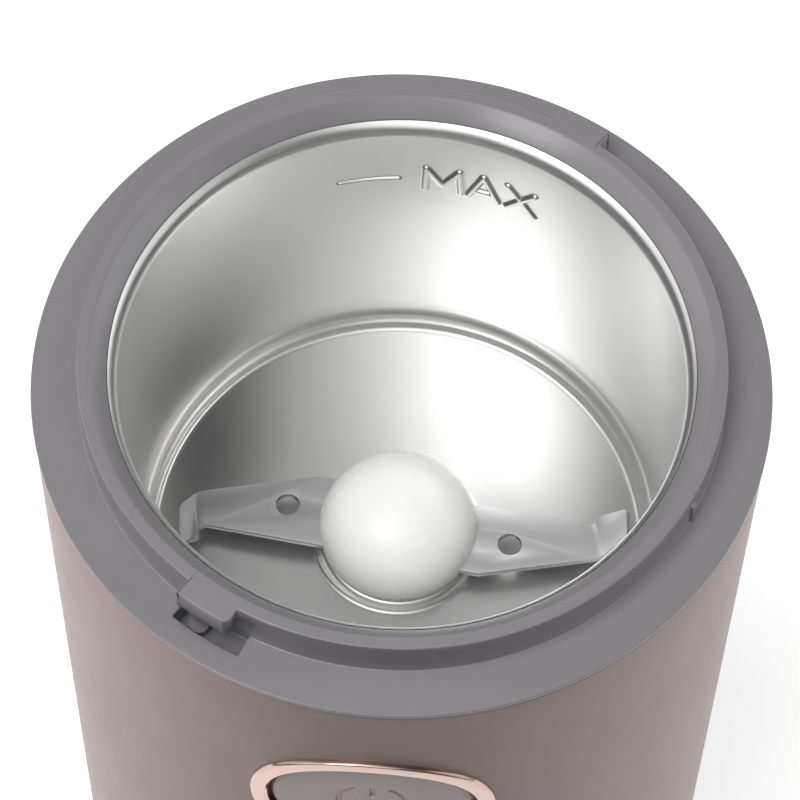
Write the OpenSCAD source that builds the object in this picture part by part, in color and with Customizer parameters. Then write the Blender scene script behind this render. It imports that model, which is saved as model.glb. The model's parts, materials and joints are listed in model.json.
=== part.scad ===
// Electric spice grinder with an open steel bowl, a winged blade under a
// domed cap, a bayonet collar for the lid and one round button.
// The axis of the bowl, the blade and the motor is Z. The feet stand at z = 0
// and the button faces -Y.

/* [Body] */
// How much wider the body's radius is at its foot than under the collar
foot_flare = 2.5; // [0:0.1:4]
// Thickness of the steel shell
shell_t = 1; // [0.8:0.1:1.2]
// Height of the plastic foot, on which the shell stands
foot_h = 24; // [22:0.5:28]
// Thickness of the foot's wall
foot_t = 2.4; // [2:0.1:3]

/* [Collar] */
// Height of the upright lip above the flat ring
lip_h = 5.42; // [4.5:0.1:6.5]
// Thickness of the lip above the funnel
lip_t = 1.6; // [1.5:0.1:2.4]
// How far the funnel inside the lip opens out
funnel_w = 2.05; // [1.2:0.05:2.5]
// Depth of that funnel, down to the bowl's rim
funnel_h = 2.3; // [1.8:0.1:2.6]
// Width of the flat ring round the lip
ring_w = 5.8; // [5:0.1:7]
// Angle of the first lid lug, counted from the front
lug_az = -29.7; // [-34:0.1:-26]
// Angle that one lid lug covers
lug_span = 10; // [8:0.2:13]
// Height of a lid lug
lug_h = 3.2; // [2.4:0.1:3.6]
// How far a lid lug stands out from the lip
lug_reach = 1.95; // [1.5:0.05:2.2]
// Depth of the pocket under a lid lug
pocket_depth = 3; // [2:0.1:3.5]

/* [Bowl] */
// Inner diameter of the bowl's wall
bowl_d = 68.4; // [67:0.2:69]
// Depth of the bowl's floor below the flat ring
bowl_depth = 43; // [41:0.5:46]
// Thickness of the bowl's sheet
bowl_t = 0.6; // [0.5:0.1:0.7]
// How far the bowl's rim flares out
rim_w = 1.05; // [0.95:0.05:1.2]
// Radius of the boss in the middle of the floor
boss_r = 11.8; // [11.4:0.1:13]
// Height of the boss
boss_h = 1; // [0.8:0.1:1.2]
// Depth of the fill mark below the flat ring
mark_drop = 8.25; // [7:0.1:12]
// Angle at which the fill mark starts, counted from the front
mark_az = 184.4; // [180:0.1:190]

/* [Blade] */
// Width of the blade's strip
blade_w = 10.13; // [9:0.1:11]
// Thickness of the blade
blade_t = 1; // [0.8:0.1:1.2]
// Distance from the bend of each wing to the bowl's wall
blade_gap = 8.2; // [7.5:0.1:10]
// Length of the wing that is bent up
wing_up = 5.1; // [4:0.1:5.3]
// Length of the wing that is bent down
wing_down = 3.5; // [3:0.1:3.6]
// Angle of each bent wing
wing_angle = 32; // [25:1:34]
// Height of the blade's seat above the bowl's floor
blade_lift = 2.6; // [2.6:0.1:3.5]
// Diameter of the holes in the blade
blade_hole_d = 3.15; // [2.5:0.1:4]
// Angle at which the blade stands still
blade_turn = -6.8; // [-90:1:90]

/* [Cap] */
// Radius of the domed cap
cap_r = 10.54; // [10:0.1:11]
// Height of the dome above its widest line
cap_h = 8.85; // [8:0.1:10]

/* [Button] */
// Depth of the button's centre below the flat ring
button_drop = 28.3; // [27:0.1:31]
// Outer radius of the metal bezel
bezel_r = 15.1; // [14.6:0.1:15.6]
// Inner radius of the metal bezel
bezel_bore = 12.9; // [12.6:0.1:13]
// How far the bezel stands out from the shell
bezel_h = 0.7; // [0.5:0.1:1]
// Travel of the button
button_travel = 1; // [0.6:0.1:1]

/* [Motor] */
// Diameter of the drive shaft
shaft_d = 6; // [5:0.5:6]
// Height of the stack of laminations
stack_h = 24; // [22:1:30]
// Height of the cooling fan
fan_h = 10; // [8:0.5:14]
// Free height between the base plate and the fan
fan_room = 11.5; // [10:0.5:16]
// Height of the rubber mounts over the motor
mount_h = 10.5; // [8:0.5:14]
// Teeth of the rotor
rotor_slots = 12; // [10:1:14]
// Bars of the commutator
bars = 24; // [18:2:28]
// Blades of the cooling fan
fan_blades = 9; // [7:1:12]

/* [Clearances] */
// Gap between parts that are pushed into each other
fit = 0.1; // [0.05:0.05:0.15]
// Radial gap of a turning shaft in its bearing
run = 0.04; // [0.02:0.01:0.08]
// Gap beside parts that move
gap = 0.3; // [0.25:0.05:0.4]

/* [Hidden] */
$fn = 96;
// bowl and its bore in the collar
bowl_r = bowl_d / 2;
wall_r = bowl_r + 0.25;
flare_r = 3.1;
rim_r = wall_r + rim_w;
bore_r = rim_r + fit / 2;
ledge_r = wall_r + bowl_t + fit;
gasket_r0 = bore_r - 0.05;
gasket_r1 = ledge_r + 0.05;
gasket_t = 0.6;
wall_t = 1.8;
seal_r = 5.6;
// collar and shell
funnel_r = bore_r + funnel_w;
lip_r = funnel_r + lip_t;
collar_r = lip_r + ring_w;
top_r = collar_r - 0.1;
foot_r = top_r + foot_flare;
flange_t = 0.7;
edge = 0.35;
skirt_t = 1.6;
skirt_r = top_r - shell_t - fit;
skirt_depth = 10;
// levels of base, fan, motor and deck, from the table up
base_z = 2;
base_t = 2.5;
fan_z = base_z + base_t + fan_room;
shaft_z0 = fan_z - 0.5;
low_plate_z = fan_z + fan_h + 4;
low_plate_t = 3;
comm_r = 9;
comm_z = low_plate_z + low_plate_t + 4;
comm_h = 9;
brush_z = comm_z + comm_h / 2;
coil_out = 5;
stack_z = comm_z + comm_h + coil_out + 1;
stack_z1 = stack_z + stack_h;
hub_z = stack_z1 + coil_out + 1.2;
up_plate_z = stack_z1 + coil_out + 3;
plate_t = 2.5;
deck_z = up_plate_z + plate_t + mount_h;
deck_t = 3;
seat_h = 7;
// levels of bowl, collar and shell
floor_z = deck_z + deck_t + seat_h;
ring_z = floor_z + bowl_depth;
rim_z = ring_z + lip_h - funnel_h - fit / 2;
flare_z = rim_z - flare_r * sin(acos(1 - rim_w / flare_r));
ledge_z = under_rim(gasket_r1) - gasket_t;
shell_z0 = foot_h;
shell_z1 = ring_z - flange_t - 0.15;
// lug pockets
pocket_in = lip_r - 0.8;
pocket_out = lip_r + 2.75;
pocket_a0 = lug_az - lug_span / 2 - 0.4;
pocket_span = lug_span + 2.5;
pocket_floor = ring_z - pocket_depth;
pocket_wall = 1.6;
// blade and cap
blade_bend_x = bowl_r - blade_gap;
blade_z0 = floor_z + blade_lift;
blade_z1 = blade_z0 + blade_t;
cap_mid_z = blade_z1 - 0.8;
cap_z0 = floor_z + boss_h + gap;
// spindle
shaft_r = shaft_d / 2;
thread_r = shaft_r - 0.5;
seat_r = 5;
nut_af = 8;
nut_h = 3.6;
bush_r = shaft_r + 3;
// legs, posts and feet
leg_r = 4.2;
leg_at = top_r - shell_t - leg_r - 3.7;
leg_turn = 20;
leg_az = [for (i = [0 : 3]) leg_turn + 90 * i];
foot_az = [for (i = [0 : 3]) leg_turn + 45 + 90 * i];
boss_z1 = base_z + base_t + 9.5;
post_r = 2.6;
post_at = skirt_r - skirt_t - post_r - fit;
post_az = [70, 190, 310];
post_z1 = ring_z - 9;
pilot_r = 1.5;
screw_r = 1.45;
// motor, as wide as the legs leave room for
stator_x = leg_at * cos(leg_turn) - leg_r - 0.63;
stator_y = stator_x - 4;
coil_x = stator_x - 9;
coil_w = 6;
rotor_r = coil_x - 4;
bolt_x = stator_x - 2.7;
bolt_y = 8;
mount_x = coil_x;
mount_y = 14;
coil_y0 = 6.5;
coil_y1 = rotor_r + 0.5;
fan_r = leg_at - leg_r - 5.8;
// button, its carrier and its switch, measured out from the axis
button_z = ring_z - button_drop;
skin_r = top_r + foot_flare * button_drop / ring_z;
face_r = skin_r - 1.67;
button_r = bezel_bore - 0.4;
sleeve_r = bezel_bore + 0.75;
sleeve_in = face_r - 1.5;
flange_out = sleeve_in - gap;
flange_in = flange_out - 0.8;
plate_out = flange_in - button_travel - 0.8;
plate_in = plate_out - 1.1;
board_out = plate_in - 1.3;
board_t = 1.2;
switch_out = board_out + 2;
stem_end = switch_out + button_travel + gap;
carrier_r = sleeve_r + 2.5;
// lid switch
lid_az = lug_az - 2;
lid_r = lip_r + 1;
lid_travel = 1.8;
lid_top = pocket_floor + 1.2;
lid_rod_z0 = ring_z - 12;
lid_box_z1 = ring_z - 11;
lid_box = [12.8, 5.8, 6.5];
// cord entry
cord_r = 3.2;
cord_z = base_z + (foot_h - base_z) / 2;
cord_rim = 3;

// ---------- helpers ----------

// direction that a drawn sheet shows to the inside of the bowl, for a heading
// of 0 straight down and 90 straight inward
function inward(a) = [-cos(a), sin(a)];

// points along an arc whose centre lies inside the bowl
function dip(c, r, a0, a1, n) =
    [for (i = [0 : n]) c - r * inward(a0 + (a1 - a0) * i / n)];

// points along an arc whose centre lies outside the bowl
function hump(c, r, a0, a1, n) =
    [for (i = [0 : n]) c + r * inward(a0 + (a1 - a0) * i / n)];

// radius of the body's outer skin at a height
function body_r(z) = top_r + foot_flare * (ring_z - z) / ring_z;

// a straight tube about Z
module tube(r_out, r_in, z0, z1) {
    difference() {
        translate([0, 0, z0]) cylinder(r = r_out, h = z1 - z0);
        translate([0, 0, z0 - 1]) cylinder(r = r_in, h = z1 - z0 + 2);
    }
}

// a cylinder about Z between two heights
module rod(r, z0, z1) {
    translate([0, 0, z0]) cylinder(r = r, h = z1 - z0);
}

// puts its children at a distance from the axis, az degrees round from the front
module around(az, dist) {
    rotate([0, 0, az]) translate([0, -dist, 0]) children();
}

// a ring segment that starts az degrees round from the front
module arc_block(az, span, r_in, r_out, z0, z1) {
    rotate([0, 0, az - 90]) rotate_extrude(angle = span)
        translate([r_in, z0]) square([r_out - r_in, z1 - z0]);
}

// a cylinder along the button's axis between two distances from the body's axis
module front_rod(r, near, far) {
    translate([0, -near, button_z]) rotate([90, 0, 0]) cylinder(r = r, h = far - near);
}

// a cylinder along the cord's axis between two distances from the body's axis
module back_rod(r, near, far) {
    translate([0, near, cord_z]) rotate([-90, 0, 0]) cylinder(r = r, h = far - near);
}

// the body's outer form, grown or shrunk
module body_form(grow = 0) {
    rotate_extrude() polygon([[0, 0], [foot_r + grow, 0], [top_r + grow, ring_z], [0, ring_z]]);
}

// a helical spring of round wire that stands on z = 0
module coil(r, wire, turns, h, per_turn = 18, sides = 6) {
    n = round(turns * per_turn);
    pts = [for (i = [0 : n]) for (j = [0 : sides - 1])
        let (a = 360 * turns * i / n, b = 360 * j / sides, q = r + wire * cos(b))
        [q * cos(a), q * sin(a), wire + (h - 2 * wire) * i / n + wire * sin(b)]];
    sides_faces = [for (i = [0 : n - 1]) for (j = [0 : sides - 1])
        let (k = (j + 1) % sides)
        [i * sides + j, (i + 1) * sides + j, (i + 1) * sides + k, i * sides + k]];
    first = [for (j = [0 : sides - 1]) j];
    last = [for (j = [sides - 1 : -1 : 0]) n * sides + j];
    polyhedron(points = pts, faces = concat(sides_faces, [first], [last]), convexity = 6);
}

// a machine screw that points up, its head from z0 down
module screw(head_r, head_h, r, z0, z1) {
    difference() {
        rod(head_r, z0 - head_h, z0);
        translate([-head_r, -0.4, z0 - head_h - 1]) cube([2 * head_r, 0.8, 1.9]);
    }
    rod(r, z0 - 0.5, z1);
}

// ---------- body ----------

module body_shell() {
    turn_in = 3;
    color([0.62, 0.57, 0.56]) difference() {
        rotate_extrude() polygon([
            [body_r(shell_z0) - turn_in, shell_z0],
            [body_r(shell_z0) - 0.4, shell_z0],
            [body_r(shell_z0), shell_z0 + 0.4],
            [body_r(shell_z1), shell_z1],
            [body_r(shell_z1) - shell_t, shell_z1],
            [body_r(shell_z0) - shell_t, shell_z0 + shell_t],
            [body_r(shell_z0) - turn_in, shell_z0 + shell_t]]);
        front_rod(sleeve_r + fit, 30, collar_r + 15);
    }
}

// profile of the collar: flange, lip, funnel, ledge for the bowl, two skirts
module collar_profile() {
    polygon([
        [collar_r, ring_z - flange_t],
        [collar_r, ring_z - edge],
        [collar_r - edge, ring_z],
        [lip_r, ring_z],
        [lip_r - 0.15, ring_z + lip_h - edge],
        [lip_r - 0.15 - edge, ring_z + lip_h],
        [funnel_r, ring_z + lip_h],
        [bore_r, ring_z + lip_h - funnel_h],
        [bore_r, ledge_z],
        [ledge_r, ledge_z],
        [ledge_r, ring_z - 8],
        [ledge_r + wall_t, ring_z - 8],
        [ledge_r + wall_t, ring_z - 2],
        [skirt_r - skirt_t, ring_z - 2],
        [skirt_r - skirt_t, ring_z - skirt_depth],
        [skirt_r, ring_z - skirt_depth],
        [skirt_r, ring_z - flange_t]]);
}

// wall round the pocket under a lug; turn = 180 gives the opposite one
module pocket_shell(turn) {
    arc_block(pocket_a0 + turn - 2, pocket_span + 4, pocket_in - 0.4, pocket_out + 1.2,
        pocket_floor - pocket_wall, ring_z);
}

module pocket_cut(turn) {
    arc_block(pocket_a0 + turn, pocket_span, pocket_in, pocket_out,
        pocket_floor, ring_z + lip_h - lug_h);
}

// lid lug, flush with the top of the lip
module lug(turn) {
    a = lug_az - lug_span / 2 + turn;
    rotate([0, 0, a - 90]) rotate_extrude(angle = lug_span) translate([0, ring_z + lip_h])
        polygon([[lip_r - 1, 0], [lip_r + lug_reach - edge, 0], [lip_r + lug_reach, -edge],
            [lip_r + lug_reach, -lug_h], [lip_r - 1, -lug_h]]);
}

module collar() {
    rib_az = 64.2;
    color([0.5, 0.5, 0.51]) difference() {
        union() {
            rotate_extrude() collar_profile();
            for (t = [0, 180]) {
                pocket_shell(t);
                lug(t);
                arc_block(rib_az + t, 1.4, lip_r - 0.5, lip_r + 0.4, ring_z - 1, ring_z + 3.4);
            }
            for (az = post_az) around(az, post_at) rod(post_r, post_z1, ring_z - 1);
            // tab that carries the lid switch
            around(lid_az, 0) translate([-5, -lid_r + lid_box[1] / 2, ring_z - 18])
                cube([10, 1.3, 15.2]);
        }
        for (t = [0, 180]) pocket_cut(t);
        for (az = post_az) around(az, post_at) rod(pilot_r, post_z1 - 1, ring_z - 3);
        around(lid_az, lid_r) rod(1.2 + fit, lid_box_z1 + 0.5, pocket_floor + 1);
    }
}

// ---------- bowl ----------

// height of the underside of the flared rim at a radius
function under_rim(r) =
    flare_z + (flare_r - bowl_t) * sin(acos((wall_r + flare_r - r) / (flare_r - bowl_t)));

// side of the drawn bowl seen from its middle; t = 0 inside, t = sheet outside
function bowl_line(t) =
    let (ra = 3.1, rb = 1, rd = 0.9, re = 1.2, rf = 1.6,
        a1 = 50, a2 = 15, a3 = acos(1 - boss_h / (re + rf)),
        a5 = acos((flare_r - rim_w) / (flare_r - t)),
        zd = floor_z + rd,
        cd_r = bowl_r - ra * (1 - cos(a1)) - rb * (cos(a2) - cos(a1)) - rd * cos(a2),
        cd = [cd_r, zd],
        p2 = cd - rd * inward(a2),
        cb = p2 - rb * inward(a2),
        p1 = cb + rb * inward(a1),
        ca = p1 + ra * inward(a1),
        ce = [boss_r, floor_z + re],
        p3 = ce - re * inward(90 + a3),
        cf = p3 - rf * inward(90 + a3))
    concat(
        hump([wall_r + flare_r, flare_z], flare_r - t, a5, 0, 8),
        dip(ca, ra + t, 0, a1, 8),
        hump(cb, rb - t, a1, a2, 4),
        dip(cd, rd + t, a2, 90, 6),
        dip(ce, re + t, 90, 90 + a3, 4),
        hump(cf, rf - t, 90 + a3, 90, 4),
        [[seal_r, floor_z + boss_h - t]]);

function reversed(p) = [for (i = [len(p) - 1 : -1 : 0]) p[i]];

module grinding_bowl() {
    mark_z = ring_z - mark_drop;
    mark_span = 14.2;
    color([0.8, 0.8, 0.8]) difference() {
        rotate_extrude() polygon(concat(bowl_line(0), reversed(bowl_line(bowl_t))));
        // the fill level is a shallow groove in the far side of the wall
        arc_block(mark_az, mark_span, bowl_r - 0.5, wall_r + 0.15, mark_z - 0.35, mark_z + 0.35);
    }
}

module rim_gasket() {
    color([0.25, 0.25, 0.26])
        rotate_extrude() polygon([[gasket_r1, ledge_z], [gasket_r0, ledge_z],
            [gasket_r0, under_rim(gasket_r0)], [gasket_r1, under_rim(gasket_r1)]]);
}

module shaft_seal() {
    top = floor_z + boss_h;
    color([0.15, 0.15, 0.15]) difference() {
        rotate_extrude() polygon([
            [shaft_r + run, top - 5], [9, top - 5], [9, top - bowl_t],
            [seal_r - fit, top - bowl_t], [seal_r - fit, top - 0.1],
            [shaft_r + run + 0.6, top - 0.1], [shaft_r + run, top - 0.8]]);
    }
}

// ---------- blade and spindle ----------

// flat outline of one arm, up to its bend
module arm_outline() {
    w = blade_w / 2;
    polygon([[0, -w], [blade_bend_x * 0.45, -w], [blade_bend_x + 0.85, 0.3],
        [blade_bend_x - 0.9, w], [0, w]]);
}

// one bent wing: x runs along the fold and -y outward, z = 0 is mid-sheet
module wing(up, long) {
    t = blade_t / 2;
    k = t * tan(wing_angle / 2);
    wing_len = up > 0 ? wing_up : wing_down;
    ear = up > 0 ? 0.8 : 1.5;
    sheet = (wing_len + 2) * [-cos(wing_angle), sin(wing_angle)];
    across = t * [sin(wing_angle), cos(wing_angle)];
    tip_near = (wing_len - 0.3) * cos(wing_angle);
    tip_far = (wing_len + 0.6) * cos(wing_angle);
    mirror([0, 0, up < 0 ? 1 : 0]) intersection() {
        translate([-2, 0, 0]) rotate([90, 0, 90]) linear_extrude(long + 5)
            polygon([[0.3, t], [k, t], sheet + across, sheet - across, [-k, -t], [0.3, -t]]);
        // the wing is slightly wider than the fold, with an ear at its far side
        translate([0, 0, -wing_len - 2]) linear_extrude(2 * wing_len + 4)
            polygon([[0.01, 0.4], [1, -tip_near], [long + ear - 0.5, -tip_far],
                [long + ear, -2.1], [long + ear, -1.3], [long + 0.1, -0.55],
                [long - 0.08, -0.1], [long - 0.25, 0.4]]);
    }
}

// one arm with its wing; up = 1 lifts the wing, up = -1 lowers it
module arm(up) {
    near = [blade_bend_x + 0.85, 0.3];
    far = [blade_bend_x - 0.9, blade_w / 2];
    fold = atan2(far[1] - near[1], far[0] - near[0]);
    difference() {
        union() {
            translate([0, 0, blade_z0]) linear_extrude(blade_t) arm_outline();
            translate([near[0], near[1], blade_z0 + blade_t / 2]) rotate([0, 0, fold])
                wing(up, norm(far - near));
        }
        translate([0.578 * blade_bend_x, 0, blade_z0 - 1])
            cylinder(d = blade_hole_d, h = blade_t + 2);
    }
}

module blade() {
    color([0.75, 0.75, 0.76]) rotate([0, 0, blade_turn]) difference() {
        union() {
            arm(1);
            rotate([0, 0, 180]) arm(-1);
        }
        rod(thread_r + 0.05, blade_z0 - 1, blade_z1 + 1);
    }
}

module blade_cap() {
    skirt = cap_mid_z - cap_z0;
    cavity_z1 = blade_z1 + nut_h + 1.2;
    color([0.95, 0.95, 0.94]) difference() {
        rotate_extrude() polygon(concat(
            [[0, cap_z0], [cap_r - 0.5, cap_z0], [cap_r - 0.12, cap_z0 + 0.35]],
            [for (i = [0 : 16]) let (a = 90 * i / 16)
                [cap_r * cos(a), cap_mid_z + cap_h * sin(a)]]));
        rod(seat_r + 0.35, cap_z0 - 1, blade_z1);
        rod(nut_af / 2 / cos(30) + 0.15, blade_z1 - 1, cavity_z1);
        rotate([0, 0, blade_turn])
            translate([-cap_r - 1, -blade_w / 2 - 0.15, cap_z0 - 1])
            cube([2 * cap_r + 2, blade_w + 0.3, blade_z1 + 0.05 - cap_z0 + 1]);
    }
}

module blade_nut() {
    color([0.7, 0.7, 0.7]) difference() {
        translate([0, 0, blade_z1]) cylinder(r = nut_af / 2 / cos(30), h = nut_h, $fn = 6);
        rod(thread_r + 0.03, blade_z1 - 1, blade_z1 + nut_h + 1);
    }
}

module drive_shaft() {
    color([0.7, 0.7, 0.72]) {
        rod(shaft_r, shaft_z0, blade_z0);
        rod(seat_r, floor_z + boss_h + gap, blade_z0);
        rod(thread_r, blade_z0 - 0.01, blade_z1 + nut_h + 0.6);
    }
}

module rotor_core() {
    slot_w = 0.15 * rotor_r;
    slot_d = 0.35 * rotor_r;
    color([0.45, 0.45, 0.47]) difference() {
        rod(rotor_r, stack_z, stack_z1);
        rod(shaft_r + 0.02, stack_z - 1, stack_z1 + 1);
        for (i = [0 : rotor_slots - 1]) around(360 * i / rotor_slots, 0) {
            translate([-0.8, -rotor_r - 1, stack_z - 1]) cube([1.6, 4, stack_h + 2]);
            translate([-slot_w / 2, -rotor_r + 1.4, stack_z - 1])
                cube([slot_w, slot_d, stack_h + 2]);
        }
    }
}

module rotor_windings() {
    r_in = shaft_r + 1.5;
    r_out = rotor_r - 1.6;
    bar_w = 0.15 * rotor_r - 0.2;
    bar_d = 0.35 * rotor_r - 0.6;
    color([0.72, 0.4, 0.2]) {
        for (z = [stack_z - coil_out + 0.4, stack_z1 + 0.2])
            difference() {
                rotate_extrude() polygon([[r_in, z], [r_out - 1.2, z], [r_out, z + 1.2],
                    [r_out, z + coil_out - 1.8], [r_out - 1.2, z + coil_out - 0.6],
                    [r_in, z + coil_out - 0.6]]);
                rod(r_in - 0.5, z - 1, z + coil_out + 1);
            }
        for (i = [0 : rotor_slots - 1]) around(360 * i / rotor_slots, 0)
            translate([-bar_w / 2, -rotor_r + 1.7, stack_z - 0.3])
            cube([bar_w, bar_d, stack_h + 0.6]);
    }
}

module commutator() {
    color([0.78, 0.48, 0.26]) difference() {
        union() {
            rod(comm_r, comm_z, comm_z + comm_h);
            rod(comm_r + 0.7, comm_z + comm_h - 1.4, comm_z + comm_h);
        }
        rod(shaft_r + 0.02, comm_z - 1, comm_z + comm_h + 1);
        for (i = [0 : bars - 1]) around(360 * i / bars, comm_r)
            translate([-0.25, -1, comm_z - 1]) cube([0.5, 1.6, comm_h + 2]);
    }
}

module cooling_fan() {
    color([0.2, 0.2, 0.22]) difference() {
        union() {
            rod(6.5, fan_z, fan_z + fan_h);
            rod(fan_r, fan_z + fan_h - 1.4, fan_z + fan_h);
            for (i = [0 : fan_blades - 1]) around(360 * i / fan_blades + 7, 0)
                rotate([0, 0, 12]) translate([-0.7, -fan_r + 0.8, fan_z + 0.5])
                cube([1.4, fan_r - 6, fan_h - 1.2]);
        }
        rod(shaft_r + 0.02, fan_z - 1, fan_z + fan_h + 1);
    }
}

// ---------- motor frame ----------

module bolt_places() {
    for (x = [-bolt_x, bolt_x]) for (y = [-bolt_y, bolt_y]) translate([x, y, 0]) children();
}

module mount_places() {
    for (x = [-mount_x, mount_x]) for (y = [-mount_y, mount_y]) translate([x, y, 0]) children();
}

module stator_core() {
    color([0.5, 0.5, 0.53]) difference() {
        translate([0, 0, stack_z]) linear_extrude(stack_h) difference() {
            square([2 * stator_x, 2 * stator_y], center = true);
            circle(r = rotor_r + 0.5);
            for (x = [-1, 1]) for (y = [-1, 1]) {
                translate([x * coil_x, y * (coil_y0 + coil_y1) / 2])
                    square([coil_w + 0.4, coil_y1 - coil_y0], center = true);
                translate([x * stator_x, y * stator_y]) rotate(45) square(5, center = true);
            }
        }
        bolt_places() rod(1.7, stack_z - 1, stack_z1 + 1);
    }
}

module field_coils() {
    color([0.7, 0.38, 0.18]) for (s = [0, 180]) rotate([0, 0, s]) {
        for (x = [-coil_x, coil_x])
            translate([x - coil_w / 2, coil_y0 + 0.2, stack_z - coil_out])
            cube([coil_w, coil_y1 - coil_y0 - 0.4, stack_h + 2 * coil_out]);
        for (z = [stack_z - coil_out, stack_z1 + 0.3])
            translate([-coil_x - coil_w / 2, coil_y1 - 0.9, z])
            cube([2 * coil_x + coil_w, 5, coil_out - 0.3]);
    }
}

module upper_bracket() {
    color([0.7, 0.71, 0.72]) difference() {
        union() {
            translate([-stator_x, -18, up_plate_z]) cube([2 * stator_x, 36, plate_t]);
            rod(bush_r + 3, hub_z, up_plate_z + plate_t + 7);
            for (x = [-stator_x, stator_x - 5]) translate([x, -11, stack_z1])
                cube([5, 22, up_plate_z - stack_z1]);
        }
        rod(bush_r + fit / 2, hub_z + 1, up_plate_z + plate_t + 8);
        rod(shaft_r + 0.8, hub_z - 1, hub_z + 2);
        bolt_places() rod(1.7, stack_z1 - 1, up_plate_z + plate_t + 1);
        mount_places() rod(1.7, up_plate_z - 1, up_plate_z + plate_t + 1);
        for (x = [-1, 1]) translate([x * (coil_x - 4), 0, up_plate_z - 1])
            cylinder(r = 3, h = plate_t + 2);
    }
}

module lower_bracket() {
    z0 = low_plate_z;
    z1 = low_plate_z + low_plate_t;
    color([0.7, 0.71, 0.72]) difference() {
        union() {
            translate([-stator_x, -10, z0]) cube([2 * stator_x, 20, low_plate_t]);
            translate([-9, -24, z0]) cube([18, 48, low_plate_t]);
            rod(bush_r + 3, z0 - 3, z1 + 2.5);
            for (x = [-stator_x, stator_x - 5]) translate([x, -11, z0])
                cube([5, 22, stack_z - z0]);
        }
        rod(bush_r + fit / 2, z0 - 1.8, z1 + 4);
        rod(shaft_r + 0.8, z0 - 4, z0);
        bolt_places() rod(1.7, z0 - 1, stack_z + 1);
    }
}

module upper_bearing() {
    color([0.75, 0.55, 0.3])
        tube(bush_r, shaft_r + run, hub_z + 1, up_plate_z + plate_t + 6);
}

module lower_bearing() {
    color([0.75, 0.55, 0.3])
        tube(bush_r, shaft_r + run, low_plate_z - 1.8, low_plate_z + low_plate_t + 2);
}

module motor_screws() {
    color([0.7, 0.7, 0.7]) bolt_places()
        screw(2.5, 2.2, screw_r, low_plate_z, up_plate_z + plate_t + 1.5);
}

module rubber_mounts() {
    color([0.12, 0.12, 0.12]) mount_places()
        tube(4.2, 1.7, up_plate_z + plate_t, deck_z);
}

module mount_screws() {
    color([0.7, 0.7, 0.7]) mount_places()
        screw(2.5, 2, screw_r, up_plate_z, deck_z + deck_t - 0.5);
}

// ---------- brush gear ----------

module brush_sides() {
    for (s = [0, 180]) rotate([0, 0, s]) children();
}

module brushes() {
    color([0.15, 0.15, 0.15]) brush_sides() difference() {
        translate([-2.5, 4, brush_z - 2]) cube([5, 15, 4]);
        rod(comm_r + 0.1, brush_z - 5, brush_z + 5);
    }
}

module brush_holders() {
    color([0.8, 0.65, 0.35]) brush_sides() difference() {
        translate([-3.4, comm_r + 2, brush_z - 2.9]) cube([6.8, 14, 5.8]);
        translate([-2.6, comm_r + 1, brush_z - 2.1]) cube([5.2, 14.2, 4.2]);
    }
}

module brush_blocks() {
    z0 = low_plate_z + low_plate_t;
    color([0.35, 0.22, 0.15]) brush_sides()
        translate([-5, 13, z0]) cube([10, 10, brush_z - 2.9 - z0]);
}

module brush_springs() {
    color([0.7, 0.7, 0.7]) brush_sides()
        translate([0, 19, brush_z]) rotate([-90, 0, 0]) coil(1.5, 0.25, 4, comm_r + 15.2 - 19, 14, 6);
}

// ---------- chassis and base ----------

module leg_places() {
    for (az = leg_az) around(az, leg_at) children();
}

module post_places() {
    for (az = post_az) around(az, post_at) children();
}

module chassis() {
    deck_r = body_r(deck_z) - shell_t - 0.2;
    seat_r1 = 23;
    color([0.3, 0.3, 0.31]) difference() {
        union() {
            rod(deck_r, deck_z, deck_z + deck_t);
            tube(deck_r, deck_r - 1.6, deck_z, deck_z + 6);
            tube(seat_r1, seat_r1 - 2.5, deck_z + deck_t - 0.1, floor_z - bowl_t);
            leg_places() rod(leg_r, boss_z1, deck_z + 0.1);
            post_places() rod(post_r, deck_z + 0.1, post_z1);
            for (az = [0 : 45 : 315]) rotate([0, 0, az])
                translate([-0.8, -deck_r + 1, deck_z + deck_t - 0.1])
                cube([1.6, deck_r - seat_r1, 2.6]);
        }
        rod(bush_r + 4, deck_z - 1, deck_z + deck_t + 4);
        leg_places() rod(pilot_r, boss_z1 - 1, boss_z1 + 12);
        post_places() rod(1.7, deck_z - 1, post_z1 + 1);
        mount_places() rod(pilot_r, deck_z - 1, deck_z + deck_t + 1);
        for (az = foot_az) around(az, 30) rod(4, deck_z - 1, deck_z + deck_t + 1);
        front_rod(carrier_r + gap, board_out - board_t - 1, collar_r + 15);
    }
}

module collar_screws() {
    color([0.7, 0.7, 0.7]) post_places()
        screw(2.5, 2, screw_r, deck_z, ring_z - 4);
}

module base_plate() {
    low_r = body_r(base_z) - 0.2;
    top = body_r(foot_h) - 0.2;
    spigot_r = body_r(foot_h) - 3 - fit;
    color([0.42, 0.42, 0.43]) difference() {
        union() {
            rotate_extrude() polygon([
                [0, base_z], [low_r - 3, base_z], [low_r - 1.6, base_z + 0.5],
                [low_r - 0.5, base_z + 1.8], [body_r(base_z + 3.4) - 0.2, base_z + 3.4],
                [top, foot_h], [spigot_r, foot_h],
                [spigot_r, foot_h + 4], [spigot_r - 2, foot_h + 4],
                [spigot_r - 2, foot_h - 1.5], [top - foot_t, foot_h - 4.5],
                [low_r - foot_t, base_z + base_t], [0, base_z + base_t]]);
            leg_places() rod(5.4, base_z + 0.5, boss_z1);
        }
        leg_places() {
            rod(1.7, base_z - 1, boss_z1 + 1);
            rod(3.5, base_z - 1, base_z + 5);
        }
        for (az = foot_az) around(az, leg_at) rod(5.6, base_z - 1, base_z + 1.2);
        for (az = [0 : 22.5 : 337.5]) rotate([0, 0, az])
            translate([-1.2, 10, base_z - 1]) cube([2.4, 14, base_t + 2]);
        back_rod(cord_r + 2, leg_at, collar_r + 15);
    }
}

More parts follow.
